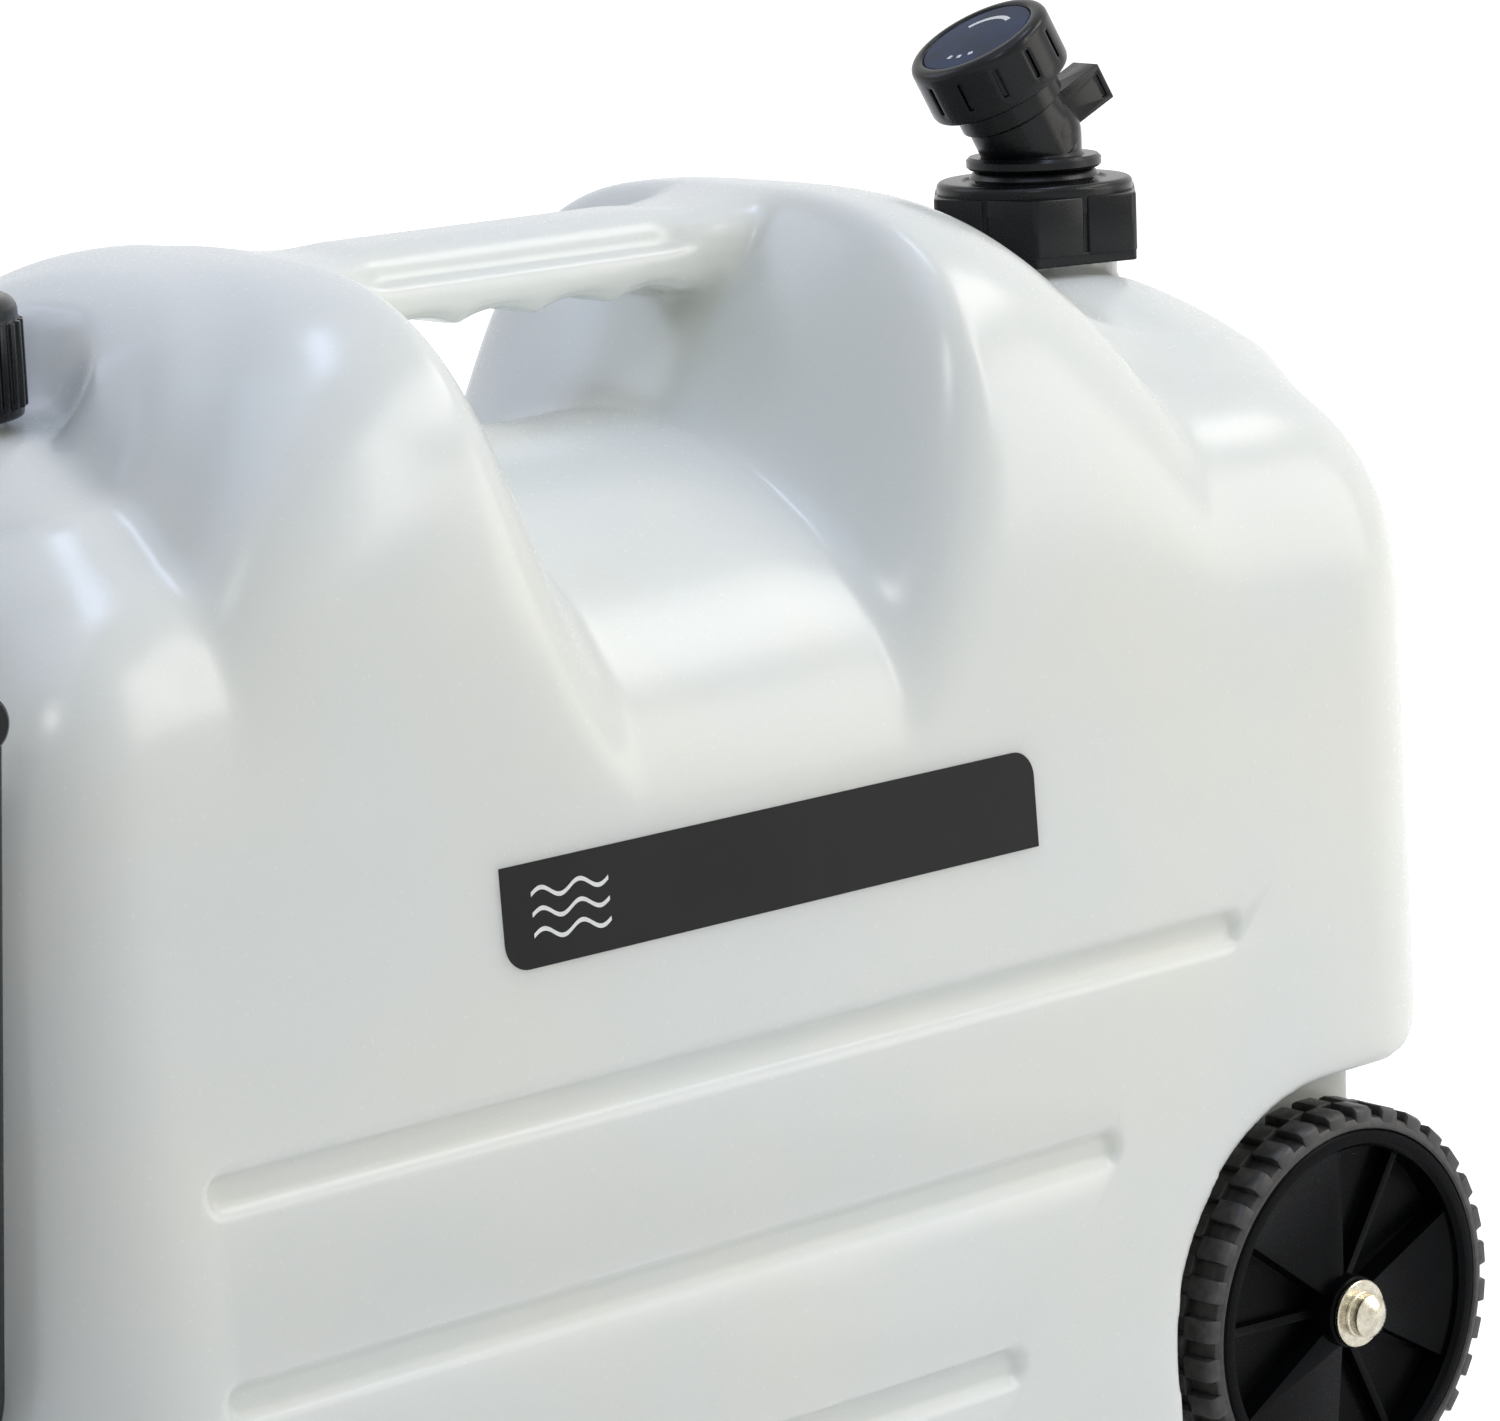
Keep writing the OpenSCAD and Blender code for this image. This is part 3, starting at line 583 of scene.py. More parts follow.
def tank_rings(t, f):
    """Closed upright sections of the tank from end to end."""
    half = t.long / 2
    middle = np.linspace(0, half - t.end, 90)
    bend = half - t.end + t.end * np.sin(np.radians(np.linspace(2, 90, 40)))
    xs = np.concatenate([-bend[::-1], -middle[:0:-1], middle, bend])[:, None]
    turn = round_in(np.abs(xs), t.corner, half)
    floor_y = np.linspace(0, 1, 8)[None, :-1] * (half_width(t, t.base) - turn - t.base)
    edge = np.radians(np.linspace(90, 0, 9))[None, :]
    edge_y = half_width(t, t.base) - turn - t.base * (1 - np.cos(edge))
    edge_z = t.base * (1 - np.sin(edge)) + 0 * xs
    side_z = np.linspace(t.base, t.spring, 60)[None, 1:-1] + 0 * xs
    side_y = half_width(t, side_z) - turn
    y = np.concatenate([floor_y, edge_y, side_y], axis=1)
    z = np.concatenate([0 * floor_y, edge_z, side_z], axis=1)
    x = xs * (1 - t.taper * (t.spring - z) / t.spring)
    u = np.sin(np.radians(np.linspace(-90, 90, 121)))[None, :]
    wide, rise = crown(t, f, xs, u)
    front = np.stack([x, -y, z], axis=2)
    back = np.stack([x, y, z], axis=2)[:, :0:-1]
    top = np.stack([xs + 0 * rise, wide * u, t.spring + rise], axis=2)
    return np.concatenate([front, top, back], axis=1)


SCALLOPS = 4
SCALLOP_SHIFT = 4 * MM
SCALLOP_DEEP = 2.7 * MM
GRIP_STEPS = ((0, 12), (-8, 11.7), (-12.6, 10), (-15.2, 7), (-16.2, 3.8), (-17, 2.6), (-19.2, 1.6),
              (-20, -0.6), (-19.8, -6.5), (-17, -10.2), (-12, -10.5), (0, -10.5))


def grip_section(count):
    """Points round the grip's stepped section, and the plain rounded section at the same angles, in mm."""
    half = np.array(GRIP_STEPS, float)
    loop = np.concatenate([half, (half * (-1, 1))[-2::-1]])
    run = np.concatenate([[0], np.cumsum(np.linalg.norm(np.diff(loop, axis=0), axis=1))])
    even = np.linspace(0, run[-1], count + 1)[:-1]
    stepped = np.stack([np.interp(even, run, loop[:, i]) for i in (0, 1)], axis=1)
    for _ in range(7):
        stepped = (np.roll(stepped, 1, axis=0) + stepped + np.roll(stepped, -1, axis=0)) / 3
    turn = np.arctan2(stepped[:, 1] / 10.5, stepped[:, 0] / 20)
    reach = (np.abs(np.cos(turn)) ** 3.4 + np.abs(np.sin(turn)) ** 3.4) ** (-1 / 3.4)
    plain = np.stack([20 * reach * np.cos(turn), 10.5 * reach * np.sin(turn)], axis=1)
    return stepped, plain


def grip_rings(t, f):
    """Sections of the carry grip: stepped sides, scalloped below, swelling into the humps."""
    a = np.linspace(-t.flank_top, t.flank_top, 230)[:, None]
    stepped, plain = grip_section(240)
    flare = 1 + 0.45 * np.clip((np.abs(a) - 46 * MM) / (t.flank_top - 46 * MM), 0, 1) ** 2
    fade = 1 - smooth(44 * MM, 62 * MM, np.abs(a))
    y = mix(plain[:, 0], stepped[:, 0], fade) * f.grip_wide / 40
    z = mix(plain[:, 1], stepped[:, 1], fade) * f.grip_high / 21
    r = (f.scallop ** 2 / 4 + SCALLOP_DEEP ** 2) / (2 * SCALLOP_DEEP)
    lower = smooth(0.4, 0.9, -z / (f.grip_high / 2))
    for i in range(SCALLOPS):
        middle = SCALLOP_SHIFT + (i - (SCALLOPS - 1) / 2) * f.scallop
        dip = np.clip(np.sqrt(np.clip(r * r - (a - middle) ** 2, 0, None)) - r + SCALLOP_DEEP, 0, None)
        z = z + dip * lower * fade
    return np.stack([t.shift + a + 0 * y, y * flare, f.grip_z + z * flare], axis=2)


THREAD_LEAD = 12 * MM
THREAD_TURNS = 0.6
THREAD_HIGH = 1.5 * MM
THREAD_START = 10.5 * MM


def neck_rings(t, f, side):
    """Rings of a threaded neck, from inside the tank up to its rim."""
    turn = np.linspace(0, 2 * math.pi, 97)[None, :-1]
    z = np.linspace(f.neck_top - 52 * MM, f.neck_top, 80)[:, None]
    r = f.neck_r - round_in(z - (f.neck_top - 1.5 * MM), 1.5 * MM, 1.5 * MM) + 0 * turn
    for begin in (0, math.pi):
        share_turn = np.mod(turn - begin, 2 * math.pi) / (2 * math.pi)
        off = np.abs(z - (f.neck_top - THREAD_START) - THREAD_LEAD * share_turn)
        ridge = np.clip((1.5 * MM - off) / (0.9 * MM), 0, 1) * (share_turn <= THREAD_TURNS)
        r = r + THREAD_HIGH * ridge
    return np.stack([side * f.neck_x + r * np.cos(turn), r * np.sin(turn), z + 0 * r], axis=2)


WELL_GAP = 8.5
WHEEL_GAP = 3
LOW_CORNER = 36
FAR = 400
BELOW = -20


def wheel_place():
    """Axle place, tread radius, half depth of the tread's outer face and tyre width, in mm."""
    low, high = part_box("front_wheel_tyre")
    centre = [(a + b) / 2 / MM for a, b in zip(low, high)]
    return centre[0], centre[2], (high[2] - low[2]) / 2 / MM, -low[1] / MM, (high[1] - low[1]) / MM


def arch_cutters(t):
    """Rooms for the wheels on both sides of the keel, and the cut under the end."""
    wheel_x, wheel_z, wheel_r, face, wide = wheel_place()
    r = wheel_r + WELL_GAP
    top = wheel_z + r
    room = [(wheel_x - r, BELOW), *arc(wheel_x, wheel_z, r, 180, 90, 24), (FAR, top), (FAR, BELOW)]
    keel = face - wide - WHEEL_GAP
    end = t.long / 2 / MM * (1 - t.taper * (t.spring / MM - top) / (t.spring / MM))
    corner = arc(end - LOW_CORNER, top + LOW_CORNER, LOW_CORNER, -90, 0, 16)
    keel_end = wheel_x + 26
    under = [(keel_end, BELOW), (keel_end, top), *corner, (FAR, top + LOW_CORNER), (FAR, BELOW)]
    front = prism("front_arch", room, FAR)
    place(front, along_y(0, -keel, 0))
    back = prism("back_arch", room, FAR)
    place(back, along_y(0, keel + FAR, 0))
    below = prism("end_cut", under, 2 * FAR)
    place(below, along_y(0, FAR, 0))
    return front, back, below


RIB_HEIGHTS = (171.4 * MM, 122.3 * MM, 73.2 * MM)
RIB_ENDS = (142 * MM, 91.5 * MM, 51.6 * MM)
RIB_START = -188 * MM
RIB_SLOPE = 3.2 * MM


def groove_depth(t, x, z):
    """Depth of the long grooves in a face."""
    deep = np.zeros_like(x)
    for middle, end in zip(RIB_HEIGHTS, RIB_ENDS):
        off = np.hypot(x - np.clip(x, RIB_START, end), z - middle)
        deep = np.maximum(deep, t.rib_deep * smooth(0, RIB_SLOPE, t.rib_half - off))
    return deep


def soft_weights(t, f, co):
    """How strongly each part of the moulded skin is smoothed."""
    x, y, z = co.T
    a = np.abs(x - t.shift)
    wheel_x, wheel_z, wheel_r, _, _ = wheel_place()
    arch = smooth(0, 14 * MM, x - (wheel_x - wheel_r - WELL_GAP - 20) * MM)
    arch *= 1 - smooth(6 * MM, 20 * MM, z - (wheel_z + wheel_r + WELL_GAP) * MM)
    grip = smooth(-4 * MM, 0, z - (f.grip_z - f.grip_high / 2)) * (np.abs(y) < 30 * MM)
    handle = grip * (1 - smooth(50 * MM, 60 * MM, a))
    joint = grip * smooth(48 * MM, 56 * MM, a) * (1 - smooth(78 * MM, 92 * MM, a))
    neck = np.hypot(np.abs(x) - f.neck_x, y)
    rim = (np.abs(neck - f.neck_r) < 5 * MM) & (z > f.neck_top - 13 * MM)
    weight = 0.12 + 0.88 * np.maximum(arch, joint)
    weight = np.where(handle > 0.5, 0.02, weight)
    return np.where(rim, 0.03, weight)


def tank_moulding():
    """The tank skin with grip, necks and wheel arches fused into one soft moulding."""
    t, f, _ = settings()
    tank = loft("tank_moulding", tank_rings(t, f))
    parts = [loft("grip", grip_rings(t, f))]
    parts += [loft("neck", neck_rings(t, f, side)) for side in (-1, 1)]
    combine(tank, parts, "UNION", "MANIFOLD")
    bores = [start("bore", bpy.ops.mesh.primitive_cylinder_add, vertices=64, radius=19 * MM,
                   depth=80 * MM, location=(side * f.neck_x, 0, f.neck_top - 20 * MM)) for side in (-1, 1)]
    combine(tank, [*arch_cutters(t), *bores], "DIFFERENCE", "MANIFOLD")
    use(tank)
    tank.data.remesh_voxel_size = t.voxel * 1
    bpy.ops.object.voxel_remesh()
    count = len(tank.data.vertices)
    co = np.empty(count * 3)
    tank.data.vertices.foreach_get("co", co)
    group = tank.vertex_groups.new(name="soft")
    weights = np.round(soft_weights(t, f, co.reshape(-1, 3)), 2)
    for weight in np.unique(weights):
        group.add(np.where(weights == weight)[0].tolist(), float(weight), "REPLACE")
    modify(tank, "SMOOTH", factor=0.5, iterations=24, vertex_group="soft")
    tank.vertex_groups.clear()
    tank.data.vertices.foreach_get("co", co)
    co = co.reshape(-1, 3)
    x, y, z = co.T
    on_face = np.abs(y) > half_width(t, z) - 4 * MM - round_in(np.abs(x), t.corner, t.long / 2)
    on_face &= (z > t.base) & (z < t.spring)
    co[:, 1] -= np.sign(y) * groove_depth(t, x, z) * on_face
    tank.data.vertices.foreach_set("co", co.ravel())
    tank.data.update()
    faces = sum(len(p.vertices) - 2 for p in tank.data.polygons)
    modify(tank, "DECIMATE", ratio=min(1.0, 190000 / faces))
    use(tank)
    bpy.ops.object.shade_smooth()
    return tank


class CARRIER_OT_tank(bpy.types.Operator):
    """Mould the tank with its grip, necks and wheel arches"""
    bl_idname = "carrier.tank"
    bl_label = "Tank"

    def execute(self, context):
        finish(tank_moulding(), "tank", "tank_plastic", polyethylene(), "tank_shell")
        return {"FINISHED"}


LABEL_ROUND = 7
LABEL_PROUD = 0.15
WAVE_LONG = 24
WAVE_STEP = 5


def label_plane():
    """Place and size of the label: a frame whose Z points out of the leaning face."""
    t = settings()[0]
    low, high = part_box("label_plate")
    y = -half_width(t, low[2])
    lean = math.atan(t.lean)
    out = Matrix.Translation((low[0], y, low[2])) @ Matrix.Rotation(math.pi / 2 - lean, 4, "X")
    return out, (high[0] - low[0]) / MM, (high[2] - low[2]) / MM


def wave_line(x, y):
    """One printed wave of two crests, in the label's own millimetres."""
    steps = np.linspace(0, 1, 49)[:, None]
    side = np.array([[-0.55, 0.55]])
    rows = np.stack([(x + WAVE_LONG * steps + 0 * side) * MM,
                     (y + 1.3 * np.sin(4 * math.pi * steps) + side) * MM,
                     (LABEL_PROUD + 0.03) * MM + 0 * steps + 0 * side], axis=2)
    return loft("wave", rows, around=False)


class CARRIER_OT_label(bpy.types.Operator):
    """Lay the plain label on the front face"""
    bl_idname = "carrier.label"
    bl_label = "Label"

    def execute(self, context):
        out, wide, high = label_plane()
        r = LABEL_ROUND
        outline = [*arc(r, r, r, 180, 270, 10), (wide, 0), *arc(wide - r, high - r, r, 0, 90, 10), (0, high)]
        label = prism("label_sticker", outline, LABEL_PROUD + 0.5)
        place(label, out @ Matrix.Translation((0, 0, -0.5 * MM)))
        soften(label, 0.08, 1)
        shade(label)
        finish(label, "tank", "label_film", label_film(), "label_plate")
        waves = [wave_line(9, high / 2 + (i - 1) * WAVE_STEP) for i in range(3)]
        ink = join(*waves)
        ink.name = "label_print"
        place(ink, out)
        finish(ink, "tank", "label_film", print_ink())
        return {"FINISHED"}


TYRE_WALL = 3.4
LUG_HIGH = 2.6
FANS = (117, -3, 237)
FAN_WIDE = 54
POCKET_RIBS = (57, 177, 297)


def tyre_ring(wheel_r, wide, rim_r):
    """Band of a tyre, standing on its inner side."""
    base = wheel_r - LUG_HIGH
    half = wide / 2
    edge = [(rim_r + 0.05, -half + 0.4), (rim_r + 0.6, -half), (base - 1.6, -half), (base - 0.4, -half + 0.7),
            (base, -half + 2)]
    return [*edge, (base, 0), *[(r, -z) for r, z in edge[::-1]], edge[0]]


def tread_lug(wheel_r, wide, pitch):
    """One tread block that wraps over the shoulder of the tyre."""
    half = wide / 2
    low = wheel_r - LUG_HIGH - 0.5
    outline = [(low, 0.2), (wheel_r, 0.2), (wheel_r, half - 2.2), (wheel_r - 0.9, half - 0.5),
               (wheel_r - 4.2, half), (wheel_r - 5, half - 1), (low, half - 1.5)]
    lug = prism("tread_lug", outline, pitch * 0.56)
    # the outline's first axis is outwards, its second across the tread
    place(lug, Matrix.Rotation(math.pi / 2, 4, "X") @ Matrix.Translation((0, 0, -pitch * 0.28 * MM)))
    soften(lug, 0.45, 2)
    return lug


def ring_of(obj, count, shift=0.0):
    """Copies of a piece in a ring about the Z axis, joined."""
    copies = [copy(obj, obj.name, Matrix.Rotation(2 * math.pi * (i + shift) / count, 4, "Z"))
              for i in range(1, count)]
    place(obj, Matrix.Rotation(2 * math.pi * shift / count, 4, "Z"))
    return join(obj, *copies)


def tyre(name):
    """A tyre about the Z axis with two staggered rows of blocks."""
    f = settings()[1]
    _, _, wheel_r, _, wide = wheel_place()
    ring = turned(name, tyre_ring(wheel_r, wide, wheel_r - 6), 128)
    lug = tread_lug(wheel_r, wide, 2 * math.pi * wheel_r / f.lugs)
    other = copy(lug, "tread_lug_b", Matrix.Scale(-1, 4, (0, 0, 1)))
    with editing(other):
        bpy.ops.mesh.normals_make_consistent(inside=False)
    rows = [ring_of(lug, f.lugs, 0.37), ring_of(other, f.lugs, 0.87)]
    return join(ring, *rows)


def sector(r, angle, wide):
    """Outline of a fan from the wheel's middle."""
    return [(0, 0), *arc(0, 0, r, angle - wide / 2, angle + wide / 2, 14)]


def wheel_centre(name):
    """A wheel centre about the Z axis, outer face up at Z = 0."""
    _, _, wheel_r, face, wide = wheel_place()
    rim = wheel_r - 6
    inner = rim - 5
    back = -wide + 0.5
    ring = [(inner, back), (rim, back), (rim, -0.8), (rim - 0.8, 0), (inner + 1.2, 0), (inner, -1.5), (inner, back)]
    hub = turned(name, ring, 120)
    web = prism("web", arc(0, 0, inner + 2, 0, 357, 119), -10 - back - 3)
    place(web, Matrix.Translation((0, 0, (back + 3) * MM)))
    fans = []
    for angle in FANS:
        fan = prism("fan", sector(inner + 2, angle, FAN_WIDE), -3 - back - 4)
        place(fan, Matrix.Translation((0, 0, (back + 4) * MM)))
        fans.append(fan)
    ribs = []
    for angle in POCKET_RIBS:
        rib = prism("rib", [(2, -1.2), (inner + 2, -1.2), (inner + 2, 1.2), (2, 1.2)], -6 - back - 5)
        place(rib, Matrix.Rotation(math.radians(angle), 4, "Z") @ Matrix.Translation((0, 0, (back + 5) * MM)))
        ribs.append(rib)
    boss = turned("boss", [(10, -wide + 2.4), (10, 0.9), (9.4, 1.5), (0, 1.5)], 64)
    combine(hub, [web, *fans, *ribs, boss], "UNION")
    soften(hub, 0.5, 2, 40)
    return hub


class CARRIER_OT_wheels(bpy.types.Operator):
    """Build both wheels with their treaded tyres"""
    bl_idname = "carrier.wheels"
    bl_label = "Wheels"

    def execute(self, context):
        wheel_x, wheel_z, _, face, wide = wheel_place()
        hub = wheel_centre("front_wheel_centre")
        tread = tyre("front_wheel_tread")
        place(hub, along_y(wheel_x, -face, wheel_z))
        place(tread, along_y(wheel_x, -face + wide / 2, wheel_z))
        for piece in (hub, tread):
            shade(piece, 32)
        back_hub = copy(hub, "back_wheel_centre", mirror_y=True)
        back_tread = copy(tread, "back_wheel_tread", mirror_y=True)
        finish(hub, "front_wheel", "black_plastic", wheel_plastic_with_painted_shade(), "front_wheel_hub")
        finish(tread, "front_wheel", "tyre_rubber", tyre_compound(), "front_wheel_tyre")
        finish(back_hub, "back_wheel", "black_plastic", wheel_plastic_with_painted_shade(), "back_wheel_hub")
        finish(back_tread, "back_wheel", "tyre_rubber", tyre_compound(), "back_wheel_tyre")
        return {"FINISHED"}


class CARRIER_OT_axle_ends(bpy.types.Operator):
    """Build the washers and the domed caps on the axle ends"""
    bl_idname = "carrier.axle_ends"
    bl_label = "Axle ends"

    def execute(self, context):
        wheel_x, wheel_z, _, face, _ = wheel_place()
        washer = turned("washer", [(4.1, 0), (9, 0), (9.3, 0.3), (9.3, 1.2), (9, 1.5), (4.1, 1.5), (4.1, 0)], 64)
        place(washer, along_y(wheel_x, -face - 1.8, wheel_z))
        low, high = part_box("axle_caps")
        tall = -low[1] / MM - face - 3.35
        dome_r = (36 + 2.35 ** 2) / (2 * 2.35)
        dome_turn = math.degrees(math.asin(6 / dome_r))
        cap = turned("cap", [(4.1, 0), (6.4, 0), (6.4, 0.7), (6, 1), (6, tall - 2.35),
                             *arc(0, tall - dome_r, dome_r, 90 - dome_turn, 90, 8)[1:]], 64)
        place(cap, along_y(wheel_x, -face - 3.35, wheel_z))
        for piece, name, node in ((washer, "axle_washers", "outer_washers"), (cap, "axle_end_caps", "axle_caps")):
            both = join(piece, copy(piece, name + "_back", mirror_y=True))
            both.name = name
            shade(both, 40)
            finish(both, "tank", "steel", zinc_steel(), node)
        return {"FINISHED"}


def end_wall(t, z):
    """X of the end wall at a height, in mm."""
    half = t.long / 2 / MM
    spring = t.spring / MM
    return -half * (1 - t.taper * max(0, spring - z) / spring)


BRACKET_WIDE = 20
BRACKET_IN = 58
SCREW_HEIGHTS = (176, 214)


def tow_pivot():
    """X and Z of the tow handle's pivot in mm."""
    low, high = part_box("pivot_pins")
    return (low[0] + high[0]) / 2 / MM, (low[2] + high[2]) / 2 / MM


class CARRIER_OT_tow_mounts(bpy.types.Operator):
    """Build the brackets on the end wall and their screws"""
    bl_idname = "carrier.tow_mounts"
    bl_label = "Tow mounts"

    def execute(self, context):
        t = settings()[0]
        px, pz = tow_pivot()
        wall = end_wall(t, 232) - 0.05
        side = [(wall, 232), (end_wall(t, 160) - 0.05, 160), (end_wall(t, 160) - 6, 160), (end_wall(t, 226) - 6, 226),
                (px - 8, pz), *arc(px, pz, 8, 180, 45, 12)[1:], (wall - 0.6, 267.5), (wall, 244)]
        bracket = prism("tow_brackets", side, BRACKET_WIDE)
        place(bracket, along_y(0, -BRACKET_IN, 0))
        soften(bracket, 1.1, 3)
        brackets = join(bracket, copy(bracket, "tow_bracket_back", mirror_y=True))
        shade(brackets)
        finish(brackets, "tank", "black_plastic", black_plastic(), "handle_brackets")
        head = turned("pan_screws", [(2, -3), (2, 0), (4.4, 0), (4.4, 0.9), *arc(2.6, 0.9, 1.8, 20, 90, 5),
                                     (0, 2.75)], 48)
        slots = [start("slot", bpy.ops.mesh.primitive_cube_add, size=1, location=(0, 0, 2.6 * MM),
                       scale=size) for size in ((4.6 * MM, 0.9 * MM, 2.4 * MM), (0.9 * MM, 4.6 * MM, 2.4 * MM))]
        combine(head, slots, "DIFFERENCE")
        middle = BRACKET_IN + BRACKET_WIDE / 2
        screws = []
        for z in SCREW_HEIGHTS:
            for y in (-middle, middle):
                spot = Matrix.Translation(((end_wall(t, z) - 6.1) * MM, y * MM, z * MM))
                screws.append(copy(head, "pan_screw", spot @ Matrix.Rotation(-math.pi / 2, 4, "Y")))
        bpy.data.meshes.remove(head.data)
        screws = join(*screws)
        screws.name = "pan_screws"
        shade(screws)
        finish(screws, "tank", "steel", zinc_steel(), "bracket_screws")
        return {"FINISHED"}


BEND = 20
TOW_BAR_HALF = 96.5
LEG_HALF = 6
BAR_HALF = 5


def tow_path(t):
    """Middle line of the U shaped tow handle in Y and Z, in mm, from eye to eye."""
    low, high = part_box("tow_handle_frame")
    px, pz = tow_pivot()
    half_top = -low[1] / MM - LEG_HALF
    bar_z = low[2] / MM + LEG_HALF
    half_bar = TOW_BAR_HALF - LEG_HALF
    lean = math.atan((half_top - half_bar) / (pz - bar_z))
    centre = (half_bar + (BEND * math.tan(lean)) - BEND / math.cos(lean), bar_z + BEND)
    bend = arc(*centre, BEND, -math.degrees(lean), -90, 16)
    leg = [(mix(half_top, bend[0][0], k), mix(pz, bend[0][1], k)) for k in np.linspace(0, 1, 24)[:-1]]
    bar = [(mix(bend[-1][0], 0, k), bar_z) for k in np.linspace(0, 1, 12)[1:]]
    half = leg + bend + bar
    return half + [(-y, z) for y, z in half[-2::-1]], px


def swept_rings(path, x, half_wide, half_thick, power):
    """Rings of a rounded section along a path in the YZ plane."""
    points = np.array(path)
    heading = np.gradient(points, axis=0)
    heading /= np.linalg.norm(heading, axis=1)[:, None]
    out = np.stack([heading[:, 1], -heading[:, 0]], axis=1)
    turn = np.radians(np.linspace(0, 360, 49))[:-1]
    across = np.sign(np.cos(turn)) * np.abs(np.cos(turn)) ** power
    thick = np.sign(np.sin(turn)) * np.abs(np.sin(turn)) ** power
    wide = np.broadcast_to(half_wide, len(points))[:, None] * across
    deep = np.broadcast_to(half_thick, len(points))[:, None] * thick
    y = points[:, :1] + out[:, :1] * wide
    z = points[:, 1:] + out[:, 1:] * wide
    return np.stack([x + deep, y, z], axis=2) * MM


class CARRIER_OT_tow_handle(bpy.types.Operator):
    """Build the fold out tow handle and its soft sleeve"""
    bl_idname = "carrier.tow_handle"
    bl_label = "Tow handle"

    def execute(self, context):
        t = settings()[0]
        path, px = tow_path(t)
        handle = loft("tow_frame", swept_rings(path, px, LEG_HALF, BAR_HALF, 2 / 5))
        low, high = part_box("tow_handle_frame")
        pz = tow_pivot()[1]
        eye = turned("eye", [(5.6, 0), (6.5, 0.9), (6.5, 12.1), (5.6, 13)], 48)
        place(eye, along_y(px, low[1] / MM + 13, pz))
        eyes = [eye, copy(eye, "eye_back", mirror_y=True)]
        combine(handle, eyes, "UNION")
        shade(handle, 40)
        finish(handle, "tow_handle", "black_plastic", black_plastic(), "tow_handle_frame")
        grip_low, grip_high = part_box("tow_handle_grip")
        half = grip_high[1] / MM
        mid_z = (grip_low[2] + grip_high[2]) / 2 / MM
        ys = np.concatenate([[-half], np.linspace(-half + 0.4, half - 0.4, 150), [half]])
        swell = 1.9 - 0.55 * (0.5 + 0.5 * np.cos(ys * 2 * math.pi / 5)) * (np.abs(ys) < half - 8)
        swell[0] = swell[-1] = 1.0
        line = [(y, mid_z) for y in ys]
        sleeve = loft("tow_sleeve", swept_rings(line, px, LEG_HALF + swell, BAR_HALF + swell, 2 / 4))
        shade(sleeve, 50)
        finish(sleeve, "tow_handle", "grip_rubber", sleeve_rubber(), "tow_handle_grip")
        return {"FINISHED"}


class CARRIER_OT_filler_cap(bpy.types.Operator):
    """Build the ribbed filler cap"""
    bl_idname = "carrier.filler_cap"
    bl_label = "Filler cap"

    def execute(self, context):
        f = settings()[1]
        low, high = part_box("fill_cap")
        r = (high[0] - low[0]) / 2 / MM - 1
        z0, z1 = low[2] / MM, high[2] / MM
        profile = [(24.4, z0), (r - 0.6, z0), (r, z0 + 0.6), (r, z0 + 2.5), (r, z1 - 6), (r - 0.2, z1 - 4.6),
                   *arc(r - 4.2, z1 - 4, 4, 8, 90, 8), (r - 6, z1), (r - 6.6, z1 - 0.7), (0, z1 - 0.7)]
        inside = [(24.4, z0), (24.4, z0 + 14.6), (19, z0 + 14.6), (19, z1 - 4), (0, z1 - 4)]
        cap = turned("filler_cap_lid", profile[::-1] + inside[1:], 2 * f.cap_ribs)
        with editing(cap):
            pick_faces(cap, lambda c, n: abs(n.z) < 0.1 and math.hypot(c.x, c.y) > (r - 0.8) * MM
                       and z0 + 2.5 < c.z / MM < z1 - 6
                       and round(math.atan2(c.y, c.x) / math.pi * f.cap_ribs - 0.5) % 2 == 0)
            bpy.ops.mesh.extrude_region_shrink_fatten(
                TRANSFORM_OT_shrink_fatten={"value": 0.95 * MM, "use_even_offset": False})
        soften(cap, 0.35, 2, 40)
        place(cap, Matrix.Translation((-f.neck_x, 0, 0)))
        shade(cap, 40)
        finish(cap, "filler_cap", "black_plastic", black_plastic(), "fill_cap")
        return {"FINISHED"}


COLLAR_TURN = 45.6
PANEL_GROOVE = 1.0
CORNER_TRIM = 31.8


def collar_outline(flats):
    """Six flats with trimmed corners, each flat split by a groove down its middle."""
    half = flats / 2
    corner = math.sqrt(CORNER_TRIM ** 2 - half ** 2)
    flat = [(half, -corner), (half, -PANEL_GROOVE), (half - 1, -PANEL_GROOVE * 0.6),
            (half - 1, PANEL_GROOVE * 0.6), (half, PANEL_GROOVE), (half, corner)]
    points = []
    for i in range(6):
        a = math.radians(COLLAR_TURN + 30 + 60 * i)
        points += [(x * math.cos(a) - y * math.sin(a), x * math.sin(a) + y * math.cos(a)) for x, y in flat]
    return points


